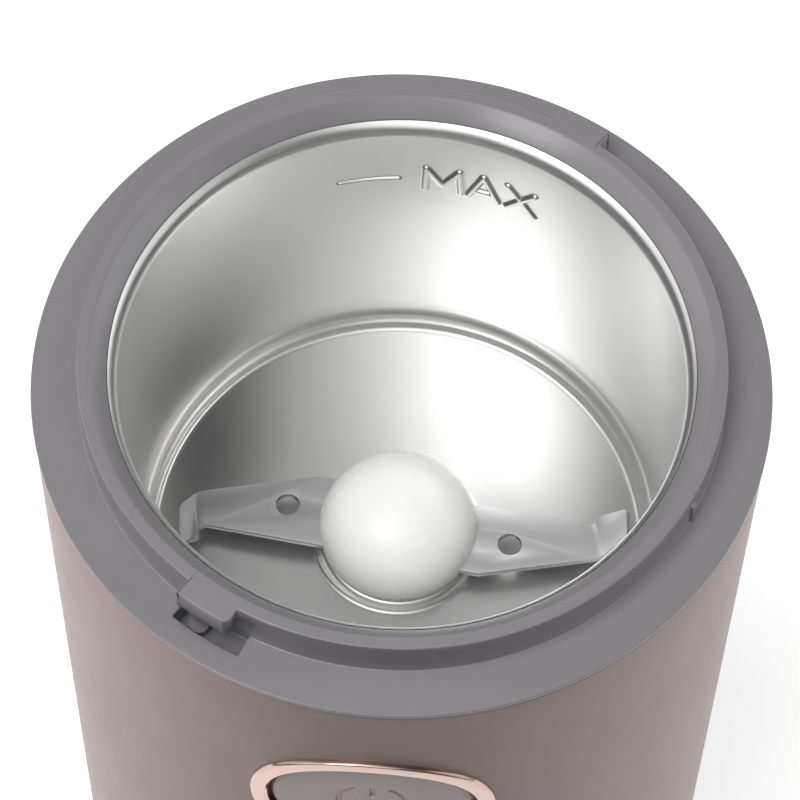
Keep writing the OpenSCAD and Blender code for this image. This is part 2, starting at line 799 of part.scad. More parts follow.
module base_screws() {
    color([0.7, 0.7, 0.7]) leg_places()
        screw(3.1, 2.4, screw_r, base_z + 5, boss_z1 + 11);
}

module rubber_feet() {
    color([0.1, 0.1, 0.1]) for (az = foot_az) around(az, leg_at)
        rotate_extrude() polygon([[0, 0], [4.6, 0], [5.1, 0.5], [5.5, base_z + 1.2], [0, base_z + 1.2]]);
}

module cord_grommet() {
    skin = body_r(cord_z) - 0.2;
    color([0.12, 0.12, 0.12]) difference() {
        union() {
            intersection() {
                back_rod(cord_r + 1.9, skin - foot_t - 2, skin + 4);
                body_form(0.3);
            }
            intersection() {
                back_rod(cord_r + cord_rim, skin - 4, skin + 4);
                difference() {
                    body_form(0.3);
                    body_form(-0.18);
                }
            }
            back_rod(cord_r + cord_rim, skin - foot_t - 2.2, skin - foot_t - 0.8);
        }
        back_rod(cord_r, skin - 12, skin + 8);
    }
}

// ---------- button ----------

module button_bezel() {
    color([0.9, 0.74, 0.69]) difference() {
        union() {
            difference() {
                intersection() {
                    front_rod(bezel_r, 36, 60);
                    body_form(bezel_h);
                }
                body_form(0.03);
            }
            intersection() {
                front_rod(sleeve_r, sleeve_in, 60);
                body_form(bezel_h - 0.2);
            }
        }
        front_rod(bezel_bore, 20, 70);
    }
}

module button() {
    round_r = 0.9;
    h = face_r - flange_out;
    color([0.6, 0.55, 0.54]) translate([0, -flange_in, button_z]) rotate([90, 0, 0]) {
        rotate_extrude() polygon(concat(
            [[0, 0], [button_r + 0.9, 0], [button_r + 0.9, 0.8], [button_r, 0.8]],
            [for (i = [0 : 6]) let (a = 90 * i / 6)
                [button_r - round_r + round_r * cos(a), 0.8 + h - round_r + round_r * sin(a)]],
            [[0, 0.8 + h + 0.25]]));
        translate([0, 0, stem_end - flange_in]) cylinder(r = 2.4, h = flange_in - stem_end + 0.1);
    }
}

module button_spring() {
    color([0.75, 0.75, 0.75]) translate([0, -plate_out, button_z]) rotate([90, 0, 0])
        coil(5.5, 0.25, 2, flange_in - plate_out, 20, 6);
}

module button_carrier() {
    post = 9;
    color([0.3, 0.3, 0.31]) difference() {
        union() {
            intersection() {
                difference() {
                    front_rod(carrier_r, plate_out - 0.1, 60);
                    front_rod(button_r + 1.3, plate_out - 1, 70);
                }
                body_form(-shell_t - fit);
            }
            front_rod(carrier_r, plate_in, plate_out);
            for (x = [-post, post]) for (z = [-post, post])
                translate([x, 0, z]) front_rod(1.5, board_out, plate_in + 0.1);
        }
        translate([-3.3, -plate_out - 1, button_z - 3.3]) cube([6.6, 4, 6.6]);
    }
}

module switch_plunger() {
    color([0.1, 0.1, 0.1]) front_rod(1.75, switch_out - 0.6, stem_end);
}

module switch_case() {
    color([0.2, 0.2, 0.2]) difference() {
        translate([-3, -switch_out, button_z - 3]) cube([6, switch_out - board_out, 6]);
        front_rod(2, switch_out - button_travel - 0.9, switch_out + 1);
    }
}

module switch_board() {
    size = 23;
    color([0.1, 0.3, 0.16])
        translate([-size / 2, -board_out, button_z - size / 2]) cube([size, board_t, size]);
}

// ---------- lid switch ----------

module lid_plunger() {
    color([0.85, 0.85, 0.82]) around(lid_az, lid_r) {
        rod(1.2, lid_rod_z0, lid_top);
        rod(2, pocket_floor - pocket_wall - 1.5, pocket_floor - pocket_wall - gap);
    }
}

module lid_spring() {
    h = pocket_floor - pocket_wall - 1.5 - lid_box_z1;
    color([0.75, 0.75, 0.75]) around(lid_az, lid_r) translate([0, 0, lid_box_z1])
        coil(1.75, 0.2, 5, h, 14, 6);
}

module lid_switch() {
    color([0.15, 0.15, 0.15]) around(lid_az, lid_r) difference() {
        translate([-lid_box[0] / 2, -lid_box[1] / 2, lid_box_z1 - lid_box[2]]) cube(lid_box);
        rod(1.2 + gap, lid_rod_z0 - lid_travel - gap, lid_box_z1 + 1);
    }
}

body_shell();
collar();
grinding_bowl();
rim_gasket();
shaft_seal();
blade();
blade_cap();
blade_nut();
drive_shaft();
rotor_core();
rotor_windings();
commutator();
cooling_fan();
stator_core();
field_coils();
upper_bracket();
lower_bracket();
upper_bearing();
lower_bearing();
motor_screws();
rubber_mounts();
mount_screws();
brushes();
brush_holders();
brush_blocks();
brush_springs();
chassis();
collar_screws();
base_plate();
base_screws();
rubber_feet();
cord_grommet();
button_bezel();
button();
button_spring();
button_carrier();
switch_plunger();
switch_case();
switch_board();
lid_plunger();
lid_spring();
lid_switch();
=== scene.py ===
import json
import math
import bpy
from mathutils import Matrix, Quaternion, Vector


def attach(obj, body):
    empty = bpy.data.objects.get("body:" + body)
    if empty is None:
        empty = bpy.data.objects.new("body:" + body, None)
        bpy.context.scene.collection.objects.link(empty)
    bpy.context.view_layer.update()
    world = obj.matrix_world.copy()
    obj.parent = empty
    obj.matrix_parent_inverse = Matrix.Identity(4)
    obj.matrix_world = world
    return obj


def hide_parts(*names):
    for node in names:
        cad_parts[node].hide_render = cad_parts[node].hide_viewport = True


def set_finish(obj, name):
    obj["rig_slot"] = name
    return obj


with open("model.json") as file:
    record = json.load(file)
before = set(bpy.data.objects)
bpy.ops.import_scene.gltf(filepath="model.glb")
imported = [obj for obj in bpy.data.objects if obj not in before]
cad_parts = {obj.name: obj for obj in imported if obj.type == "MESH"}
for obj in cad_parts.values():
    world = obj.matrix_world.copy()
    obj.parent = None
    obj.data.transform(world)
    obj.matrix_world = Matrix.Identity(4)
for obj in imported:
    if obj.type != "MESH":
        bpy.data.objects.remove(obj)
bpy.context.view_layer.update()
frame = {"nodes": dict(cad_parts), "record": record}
mm = 0.001

# heights above the table in millimetres
ringHeight = 150.0      # the collar's flat ring
floorHeight = 107.0     # the bowl's floor


def leaveEditing():
    if bpy.context.mode != "OBJECT":
        bpy.ops.object.mode_set(mode="OBJECT")


def pickNothing():
    leaveEditing()
    bpy.ops.object.select_all(action="DESELECT")


def emptyNodes(owner):
    owner.use_nodes = True
    owner.node_tree.nodes.clear()
    return owner.node_tree.nodes, owner.node_tree.links


# camera, light and floor

cameraSetup = {
    "place": (0.00964, -0.18127, 0.46199),
    "target": (0.00001, -0.00346, 0.150),
    "roll": 1.391,
    "lens": 133.8,
    "sensor": 36,
    "nearest": 0.01,
}


def addCamera():
    v = cameraSetup
    spot = Vector(v["place"])
    look = (Vector(v["target"]) - spot).to_track_quat("-Z", "Y")
    look = look @ Quaternion((0, 0, 1), math.radians(v["roll"]))
    bpy.ops.object.camera_add(location=spot)
    camera = bpy.context.object
    camera.rotation_euler = look.to_euler()
    camera.data.lens = v["lens"]
    camera.data.sensor_width = v["sensor"]
    camera.data.clip_start = v["nearest"]
    bpy.context.scene.camera = camera


studioLights = [
    # name, degrees round from the front, degrees up, watts
    ("softboxMain", 314, 67, 5.0),
    ("softboxRightHigh", 60, 68, 0.8),
    ("softboxTop", 0, 90, 1.2),
    ("softboxLeft", 264, 12, 4.3),
    ("softboxRight", 94, 12, 4.0),
]
lampValues = {"away": 0.85, "height": 0.12, "size": 0.45}


def wayTo(around, up):
    around, up = math.radians(around), math.radians(up)
    return Vector((math.sin(around) * math.cos(up), -math.cos(around) * math.cos(up),
                   math.sin(up)))


def addLights():
    # the dome stands in for the lamps in reflections
    v = lampValues
    middle = Vector((0, 0, v["height"]))
    for name, around, up, watts in studioLights:
        way = wayTo(around, up)
        bpy.ops.object.light_add(type="AREA", location=middle + way * v["away"])
        lamp = bpy.context.object
        lamp.name = name
        lamp.rotation_euler = way.to_track_quat("Z", "Y").to_euler()
        lamp.data.shape = "SQUARE"
        lamp.data.size = v["size"]
        lamp.data.energy = watts
        lamp.visible_glossy = False


def whiteSeen(nodes, links):
    # 1 for the rays that show a background: camera, reflection and glass
    path = nodes.new("ShaderNodeLightPath")
    seen = nodes.new("ShaderNodeMath")
    seen.operation = "MAXIMUM"
    seenToo = nodes.new("ShaderNodeMath")
    seenToo.operation = "MAXIMUM"
    links.new(path.outputs["Is Camera Ray"], seen.inputs[0])
    links.new(path.outputs["Is Glossy Ray"], seen.inputs[1])
    links.new(seen.outputs[0], seenToo.inputs[0])
    links.new(path.outputs["Is Transmission Ray"], seenToo.inputs[1])
    return seenToo.outputs[0]


worldLight = {"seen": 1, "fill": 0.06}


def addWorld():
    # white where it is seen, and a faint fill on everything else
    world = bpy.data.worlds.new("studio")
    bpy.context.scene.world = world
    nodes, links = emptyNodes(world)
    out = nodes.new("ShaderNodeOutputWorld")
    back = nodes.new("ShaderNodeBackground")
    fill = nodes.new("ShaderNodeBackground")
    for part, strength in ((back, worldLight["seen"]), (fill, worldLight["fill"])):
        part.inputs["Color"].default_value = (1, 1, 1, 1)
        part.inputs["Strength"].default_value = strength
    mix = nodes.new("ShaderNodeMixShader")
    links.new(whiteSeen(nodes, links), mix.inputs["Fac"])
    links.new(fill.outputs[0], mix.inputs[1])
    links.new(back.outputs[0], mix.inputs[2])
    links.new(mix.outputs[0], out.inputs["Surface"])


# a painted dome round the set, which only reflections see: it gives the metal its bright and
# dark sides; core is the share of each field that has its full brightness
domeValues = {"radius": 1.3, "height": 0.12, "core": 0.2}
domeFields = [
    # name, degrees round from the front, degrees up, half width in degrees, brightness
    ("mainSoftbox", 318, 58, 35, 1.20),
    ("mainCore", 318, 58, 16, 1.3),
    ("stripFrontLeft", 326, 32, 16, 5.0),
    ("frontHigh", 0, 62, 38, 0.68),
    ("frontLow", 0, 26, 26, 1.30),
    ("leftFrontLow", 312, 18, 34, 1.3),
    ("leftLow", 265, 12, 34, 1.0),
    ("rightFront", 45, 36, 38, 0.32),
    ("rightLow", 90, 8, 38, 0.90),
    ("backRightLow", 135, 8, 38, 1.1),
    ("backLow", 180, 8, 38, 0.7),
    ("back", 180, 50, 38, 0.50),
    ("leftMiddle", 292, 50, 38, 0.30),
]


def addDome():
    v = domeValues
    pickNothing()
    bpy.ops.mesh.primitive_uv_sphere_add(segments=64, ring_count=32, radius=v["radius"],
                                         location=(0, 0, v["height"]))
    dome = bpy.context.object
    dome.name = "dome"
    shade = bpy.data.materials.new("domePaint")
    nodes, links = emptyNodes(shade)
    way = nodes.new("ShaderNodeVectorMath")
    way.operation = "NORMALIZE"
    links.new(nodes.new("ShaderNodeTexCoord").outputs["Object"], way.inputs[0])
    total = None
    for name, around, up, wide, bright in domeFields:
        near = nodes.new("ShaderNodeVectorMath")
        near.label = name
        near.operation = "DOT_PRODUCT"
        links.new(way.outputs[0], near.inputs[0])
        near.inputs[1].default_value = wayTo(around, up)
        field = nodes.new("ShaderNodeMapRange")
        field.interpolation_type = "SMOOTHSTEP"
        links.new(near.outputs["Value"], field.inputs["Value"])
        field.inputs["From Min"].default_value = math.cos(math.radians(wide))
        field.inputs["From Max"].default_value = math.cos(math.radians(wide * v["core"]))
        field.inputs["To Max"].default_value = bright
        if total is None:
            total = field.outputs["Result"]
            continue
        both = nodes.new("ShaderNodeMath")
        both.operation = "ADD"
        links.new(total, both.inputs[0])
        links.new(field.outputs["Result"], both.inputs[1])
        total = both.outputs[0]
    glow = nodes.new("ShaderNodeEmission")
    links.new(total, glow.inputs["Strength"])
    out = nodes.new("ShaderNodeOutputMaterial")
    links.new(glow.outputs[0], out.inputs["Surface"])
    dome.data.materials.append(shade)
    dome.visible_camera = False
    dome.visible_diffuse = False
    dome.visible_shadow = False
    dome.visible_transmission = False


floorPaper = {"radius": 0.42, "corners": 96, "seen": 0.80, "lift": 0.52, "bounce": 0.02}


def addFloor():
    # the paper shows white and keeps the shadow; it throws less light back than it shows
    v = floorPaper
    pickNothing()
    bpy.ops.mesh.primitive_circle_add(vertices=v["corners"], radius=v["radius"],
                                      fill_type="NGON", location=(0, 0, 0))
    floor = bpy.context.object
    floor.name = "floor"
    paper = bpy.data.materials.new("whitePaper")
    nodes, links = emptyNodes(paper)
    out = nodes.new("ShaderNodeOutputMaterial")
    dull = nodes.new("ShaderNodeBsdfDiffuse")
    pale = nodes.new("ShaderNodeBsdfDiffuse")
    lift = nodes.new("ShaderNodeEmission")
    both = nodes.new("ShaderNodeAddShader")
    mix = nodes.new("ShaderNodeMixShader")
    dull.inputs["Color"].default_value = (*[v["bounce"]] * 3, 1)
    pale.inputs["Color"].default_value = (*[v["seen"]] * 3, 1)
    lift.inputs["Strength"].default_value = v["lift"]
    links.new(pale.outputs[0], both.inputs[0])
    links.new(lift.outputs[0], both.inputs[1])
    links.new(whiteSeen(nodes, links), mix.inputs["Fac"])
    links.new(dull.outputs[0], mix.inputs[1])
    links.new(both.outputs[0], mix.inputs[2])
    links.new(mix.outputs[0], out.inputs["Surface"])
    floor.data.materials.append(paper)


bpy.context.scene.view_settings.view_transform = "Standard"
addCamera()
addLights()
addWorld()
addFloor()
addDome()
print("stage ready")


# modelling helpers; lengths are given in millimetres

tiny = 0.001 * mm       # points closer than this are one
cornerShare = 0.48      # a rounding takes up at most this share of either side


def pickAll():
    bpy.ops.mesh.select_all(action="SELECT")


def closeMesh():
    # normals outward, then back to object mode
    pickAll()
    bpy.ops.mesh.normals_make_consistent(inside=False)
    leaveEditing()


def drawOutline(name, points):
    # one vertex is pulled along the points and back to the first
    pickNothing()
    bpy.ops.mesh.primitive_plane_add(size=2 * mm, location=(0, 0, 0))
    piece = bpy.context.object
    piece.name = name
    piece.data.name = name
    bpy.ops.object.mode_set(mode="EDIT")
    bpy.ops.mesh.select_mode(type="VERT")
    pickAll()
    bpy.ops.mesh.merge(type="CENTER")
    spots = [Vector(p) * mm for p in points]
    bpy.ops.transform.translate(value=spots[0])
    for here, there in zip(spots, spots[1:] + spots[:1]):
        bpy.ops.mesh.extrude_vertices_move(TRANSFORM_OT_translate={"value": there - here})
    pickAll()
    bpy.ops.mesh.remove_doubles(threshold=tiny)
    return piece


def turnOutline(steps, axis=(0, 0, 1), center=(0, 0, 0)):
    # turns what is being edited once round
    pickAll()
    bpy.ops.mesh.spin(steps=steps, angle=2 * math.pi, center=Vector(center) * mm, axis=axis)
    pickAll()
    bpy.ops.mesh.remove_doubles(threshold=tiny)
    closeMesh()


def roundCorners(corners, segments=4):
    # corners are (across, up) or (across, up, radius); each radius becomes an arc
    line = []
    for i, corner in enumerate(corners):
        here = Vector(corner[:2])
        if len(corner) < 3:
            line.append(here)
            continue
        back = Vector(corners[i - 1][:2]) - here
        ahead = Vector(corners[(i + 1) % len(corners)][:2]) - here
        half = back.angle(ahead) / 2
        reach = min(corner[2] / math.tan(half), cornerShare * min(back.length, ahead.length))
        halfway = (back.normalized() + ahead.normalized()).normalized()
        middle = here + halfway * reach / math.cos(half)
        first = here + back.normalized() * reach - middle
        last = here + ahead.normalized() * reach - middle
        a0 = math.atan2(first.y, first.x)
        turn = math.atan2(last.y, last.x) - a0
        turn = (turn + math.pi) % (2 * math.pi) - math.pi
        for k in range(segments + 1):
            a = a0 + turn * k / segments
            line.append(middle + Vector((math.cos(a), math.sin(a))) * first.length)
    return line


def turnedPiece(name, corners, steps):
    piece = drawOutline(name, [(p.x, 0, p.y) for p in roundCorners(corners)])
    turnOutline(steps)
    return piece


def frontTurnedPiece(name, corners, height, steps, segments):
    # corners are (out from the button's axis, forward of the body's axis)
    line = roundCorners(corners, segments)
    piece = drawOutline(name, [(p.x, -p.y, height) for p in line])
    turnOutline(steps, axis=(0, 1, 0), center=(0, 0, height))
    return piece


def roundFrom(point):
    # degrees round from the front, counted towards +X
    return math.degrees(math.atan2(point.x, -point.y))


def within(angle, start, span):
    return 0 < (angle - start) % 360 < span


def outward(normal, point):
    flat = Vector((point.x, point.y, 0))
    return normal.dot(flat.normalized()) if flat.length > 1e-6 else 0


def startPicking(kind):
    if bpy.context.mode == "OBJECT":
        bpy.ops.object.mode_set(mode="EDIT")
    bpy.ops.mesh.select_mode(type=kind)
    bpy.ops.mesh.select_all(action="DESELECT")
    leaveEditing()


def pickFaces(piece, test):
    startPicking("FACE")
    for face in piece.data.polygons:
        face.select = test(face.center, face.normal)
    bpy.ops.object.mode_set(mode="EDIT")


def pickEdges(piece, test):
    startPicking("EDGE")
    spots = piece.data.vertices
    for edge in piece.data.edges:
        edge.select = test(spots[edge.vertices[0]].co, spots[edge.vertices[1]].co)
    bpy.ops.object.mode_set(mode="EDIT")


def cutThroughAxis(angle):
    # a cut along the plane through Z that stands at this angle from the front
    pickAll()
    a = math.radians(angle)
    bpy.ops.mesh.bisect(plane_co=(0, 0, 0), plane_no=(math.cos(a), math.sin(a), 0))


def pushPicked(move=(0, 0, 0), grow=1):
    bpy.ops.mesh.extrude_region_move(TRANSFORM_OT_translate={"value": Vector(move) * mm})
    if grow != 1:
        bpy.ops.transform.resize(value=(grow, grow, 1), center_override=(0, 0, 0))


def applyModifier(piece, kind, **settings):
    leaveEditing()
    bpy.context.view_layer.objects.active = piece
    added = piece.modifiers.new(kind.lower(), kind)
    for key, value in settings.items():
        setattr(added, key, value)
    bpy.ops.object.modifier_apply(modifier=added.name)


def softenEdges(piece, width, segments, angle, clamp=True):
    applyModifier(piece, "BEVEL", width=width * mm, segments=segments, limit_method="ANGLE",
                  angle_limit=math.radians(angle), harden_normals=False, use_clamp_overlap=clamp)


def smooth(piece, angle):
    pickNothing()
    piece.select_set(True)
    bpy.context.view_layer.objects.active = piece
    bpy.ops.object.shade_smooth_by_angle(angle=math.radians(angle))


def cutAway(piece, cutter):
    applyModifier(piece, "BOOLEAN", object=cutter, operation="DIFFERENCE", solver="EXACT")
    bpy.data.objects.remove(cutter)


def bar(radius, start, end, sides):
    # a round bar between two points, used to cut holes
    pickNothing()
    start, end = Vector(start) * mm, Vector(end) * mm
    turn = (end - start).to_track_quat("Z", "Y").to_euler()
    bpy.ops.mesh.primitive_cylinder_add(vertices=sides, radius=radius * mm,
                                        depth=(end - start).length,
                                        location=(start + end) / 2, rotation=turn)
    made = bpy.context.object
    bpy.ops.object.transform_apply(location=True, rotation=True, scale=True)
    return made


def stands(piece, body, node, slotName):
    # the body it rides on, the part it takes the place of, and its finish
    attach(piece, body)
    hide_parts(node)
    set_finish(piece, slotName)


# body shell

shellValues = {
    "footHeight": 24.0,
    "topHeight": 149.15,
    "topRadius": 44.9,
    "footRadius": 47.4,
    "wall": 1.0,
    "turnIn": 3.0,
    "edge": 0.45,
    "footEdge": 0.5,
    "innerEdge": 0.4,
    "buttonHeight": 121.7,
    "holeRadius": 13.75,
    "lowRows": (40, 60, 80, 94),
    "holeRows": range(104, 142, 2),     # close rows where the button's hole is cut
}


def skinRadius(height):
    v = shellValues
    flare = v["footRadius"] - v["topRadius"]
    return v["topRadius"] + flare * (ringHeight - height) / ringHeight


def makeShell():
    v = shellValues
    low, high, wall = v["footHeight"], v["topHeight"], v["wall"]
    foot, top = skinRadius(low), skinRadius(high)
    outer = [(skinRadius(z), z) for z in (*v["lowRows"], *v["holeRows"])]
    inner = [(skinRadius(z) - wall, z) for z in (*v["lowRows"][1::2], *v["holeRows"])]
    corners = [(foot, low, v["footEdge"]), *outer, (top, high, v["edge"]),
               (top - wall, high, v["edge"]), *reversed(inner),
               (foot - wall, low + wall, v["innerEdge"]),
               (foot - v["turnIn"], low + wall), (foot - v["turnIn"], low)]
    shell = turnedPiece("shell", corners, steps=240)
    height = v["buttonHeight"]
    cutAway(shell, bar(v["holeRadius"], (0, -30, height), (0, -60, height), 96))
    smooth(shell, 30)
    stands(shell, "housing", "body_shell", "body_paint")
    return shell


# collar with its two lid lugs and their pockets

collarValues = {
    "outer": 45.0,
    "lipFoot": 39.2,
    "lipTop": 39.05,
    "lipHeight": 5.42,
    "funnelTop": 37.6,
    "funnelDeep": 2.3,
    "bore": 35.55,
    "boreDeep": 8.0,
    "ledge": 35.15,
    "ledgeHeight": 1.0,
    "ringThick": 2.0,
    "edgeStrip": 0.7,
    "innerSkirt": 36.95,
    "skirtIn": 42.2,
    "skirtOut": 43.8,
    "skirtDeep": 10.0,
    "lugStart": -34.7,
    "lugSpan": 10.0,
    "lugUnder": 2.22,
    "lugReach": 41.15,
    "lugCorners": (0.4, 1.1),       # rounding of its two upright edges
    "pocketStart": -35.1,
    "pocketSpan": 12.5,
    "pocketIn": 38.4,
    "pocketOut": 41.95,
    "pocketDeep": 3.0,
    "guardSpan": 2.0,               # the wall below a pocket goes on this far past it
    "guardDeep": 2.6,
    "ribStart": 64.2,
    "ribSpan": 1.4,
    "ribHeight": 3.4,
    "ribReach": 39.6,
    "edge": 0.20,
}


def makeCollar():
    v = collarValues
    top, under = ringHeight, ringHeight - v["ringThick"]
    lipTop, bore = top + v["lipHeight"], top - v["boreDeep"]

    def lipAt(up):
        return v["lipFoot"] + (v["lipTop"] - v["lipFoot"]) * up / v["lipHeight"]

    corners = [
        (v["outer"], top - v["edgeStrip"]), (v["outer"], top),
        (v["pocketOut"], top), (v["lipFoot"], top),
        (lipAt(v["lugUnder"]), top + v["lugUnder"]), (lipAt(v["ribHeight"]), top + v["ribHeight"]),
        (v["lipTop"], lipTop), (v["funnelTop"], lipTop),
        (v["bore"], lipTop - v["funnelDeep"]), (v["bore"], top + v["ledgeHeight"]),
        (v["ledge"], top + v["ledgeHeight"]), (v["ledge"], bore),
        (v["innerSkirt"], bore), (v["innerSkirt"], under),
        (v["skirtIn"], under), (v["skirtIn"], top - v["skirtDeep"]),
        (v["skirtOut"], top - v["skirtDeep"]), (v["skirtOut"], top - v["edgeStrip"])]
    collar = turnedPiece("collar", corners, steps=240)
    bpy.ops.object.mode_set(mode="EDIT")
    lug, span = v["lugStart"], v["lugSpan"]
    pocket, wide, guard = v["pocketStart"], v["pocketSpan"], v["guardSpan"]
    for angle in (lug, lug + span, pocket, pocket + wide, pocket - guard, pocket + wide + guard,
                  v["ribStart"], v["ribStart"] + v["ribSpan"]):
        cutThroughAxis(angle)

    def both(point, start, width):
        # everything is there twice, opposite itself
        angle = roundFrom(point)
        return within(angle, start, width) or within(angle, start + 180, width)

    def level(point, height):
        return abs(point.z / mm - height) < 0.1

    def fromAxis(point):
        return math.hypot(point.x, point.y) / mm

    def onLip(point, normal, low, high):
        return (outward(normal, point) > 0.7 and low < point.z / mm - top < high
                and v["lipTop"] - 0.25 < fromAxis(point) < v["lipFoot"] + 0.2)

    # the lugs grow out of the top of the lip
    pickFaces(collar, lambda p, n: both(p, lug, span)
              and onLip(p, n, v["lugUnder"], v["lipHeight"] + 0.1))
    pushPicked(grow=v["lugReach"] / v["lipTop"])
    # the pockets go down into the ring and in under the lugs
    pickFaces(collar, lambda p, n: both(p, pocket, wide) and n.z > 0.9 and level(p, top)
              and v["lipFoot"] - 0.1 < fromAxis(p) < v["pocketOut"])
    pushPicked(move=(0, 0, -v["pocketDeep"]))
    pickFaces(collar, lambda p, n: both(p, pocket, wide)
              and onLip(p, n, -v["pocketDeep"] - 0.1, v["lugUnder"]))
    pushPicked(grow=v["pocketIn"] / v["lipFoot"])
    # the wall below each pocket
    pickFaces(collar, lambda p, n: both(p, pocket - guard, wide + 2 * guard) and n.z < -0.9
              and level(p, under))
    pushPicked(move=(0, 0, -v["guardDeep"]))
    # small upright ribs on the lip
    pickFaces(collar, lambda p, n: both(p, v["ribStart"], v["ribSpan"])
              and onLip(p, n, 0, v["ribHeight"]))
    pushPicked(grow=v["ribReach"] / v["lipFoot"])

    def lugEdge(a, b, angle, slack=0.25):
        # an upright edge on the outside of a lug, at this angle or opposite
        if math.hypot(a.x - b.x, a.y - b.y) > 0.3 * mm or abs(a.z - b.z) < 0.5 * mm:
            return False
        turned = abs((roundFrom(a) - angle + 90) % 180 - 90)
        return (turned < slack and fromAxis(a) > v["lugReach"] - 0.15
                and a.z / mm > top + v["lugUnder"] / 2)

    small, large = v["lugCorners"]
    for angle, rounding, segments in ((lug + span, large, 6), (lug, small, 3)):
        pickEdges(collar, lambda a, b: lugEdge(a, b, angle))
        bpy.ops.mesh.bevel(offset=rounding * mm, segments=segments, affect="EDGES")
    leaveEditing()
    softenEdges(collar, v["edge"], 3, 26, clamp=False)
    smooth(collar, 35)
    stands(collar, "housing", "collar", "collar_plastic")
    return collar


# bowl of drawn steel with its flared rim and pressed fill mark

bowlValues = {
    "radius": 34.2,
    "wallTop": 34.45,
    "sheet": 0.6,
    "rimWidth": 1.05,
    "rimCurve": 3.1,
    "rimHeight": 153.07,
    "floorEdge": (3.1, 1.0, 0.9),   # radii of the stepped floor edge, from the wall inwards
    "floorTurns": (50, 15),         # degrees from level where they meet
    "bossEdge": (1.2, 1.6),         # radii at the boss's foot and at its top
    "bossRadius": 11.8,
    "bossHeight": 1.0,
    "sealRadius": 5.6,
    "backRows": (149, 134),
    "markRows": (137.5, 0.75, 13),  # first, step and count of the close rows under the mark
    "markRise": 0.32,
    "markWidth": 0.8,
    "markEdge": (0.18, 0.42),       # how far its sides reach past it, and how wide they are
    "markStart": 184.4,             # degrees from the front, where the mark's dash starts
    "markHeight": 142.0,
    "markField": (-10, 20, 3.8),    # left, right and half height of the finer faces
}

# strokes of the fill mark: millimetres to the right of the dash's right end, and up from the mark
markStrokes = [
    [(-7.9, -0.3), (-0.3, -0.3)],
    [(3.2, -2.3), (3.3, 2.3), (5.45, -1.1), (7.6, 2.3), (7.9, -2.3)],
    [(8.9, -2.2), (10.8, 2.4), (12.9, -2.2)],
    [(9.8, -1.0), (12.1, -1.0)],
    [(14.1, 2.3), (18.0, -2.2)],
    [(14.1, -2.2), (17.9, 2.3)],
]


def bowlLine(t):
    # the inner side of the floor, or the outer side at this thickness, from the wall to the seal
    v = bowlValues
    ra, rb, rd = v["floorEdge"]
    re, rf = v["bossEdge"]
    a1, a2 = [math.radians(a) for a in v["floorTurns"]]
    a3 = math.acos(1 - v["bossHeight"] / (re + rf))
    floor = floorHeight
    right = math.pi / 2

    def inward(a):
        return Vector((-math.cos(a), math.sin(a)))

    def arc(center, radius, start, end, count, sign):
        return [center + sign * radius * inward(start + (end - start) * i / count)
                for i in range(count + 1)]

    cornerAt = Vector((v["radius"] - ra * (1 - math.cos(a1)) - rb * (math.cos(a2) - math.cos(a1))
                       - rd * math.cos(a2), floor + rd))
    ridge = cornerAt - rd * inward(a2) - rb * inward(a2)
    hollow = ridge + rb * inward(a1) + ra * inward(a1)
    bossFoot = Vector((v["bossRadius"], floor + re))
    bossTop = bossFoot - re * inward(right + a3) - rf * inward(right + a3)
    return (arc(hollow, ra + t, 0, a1, 12, -1) + arc(ridge, rb - t, a1, a2, 6, 1)
            + arc(cornerAt, rd + t, a2, right, 8, -1)
            + [Vector((r, floor - t)) for r in (28, 24, 20, 16)]
            + arc(bossFoot, re + t, right, right + a3, 6, -1)
            + arc(bossTop, rf - t, right + a3, right, 6, 1)
            + [Vector((9, floor + v["bossHeight"] - t)),
               Vector((v["sealRadius"], floor + v["bossHeight"] - t))])


def strokeDistance(here, a, b):
    along = max(0, min(1, (here - a).dot(b - a) / (b - a).length_squared))
    return (here - a - along * (b - a)).length


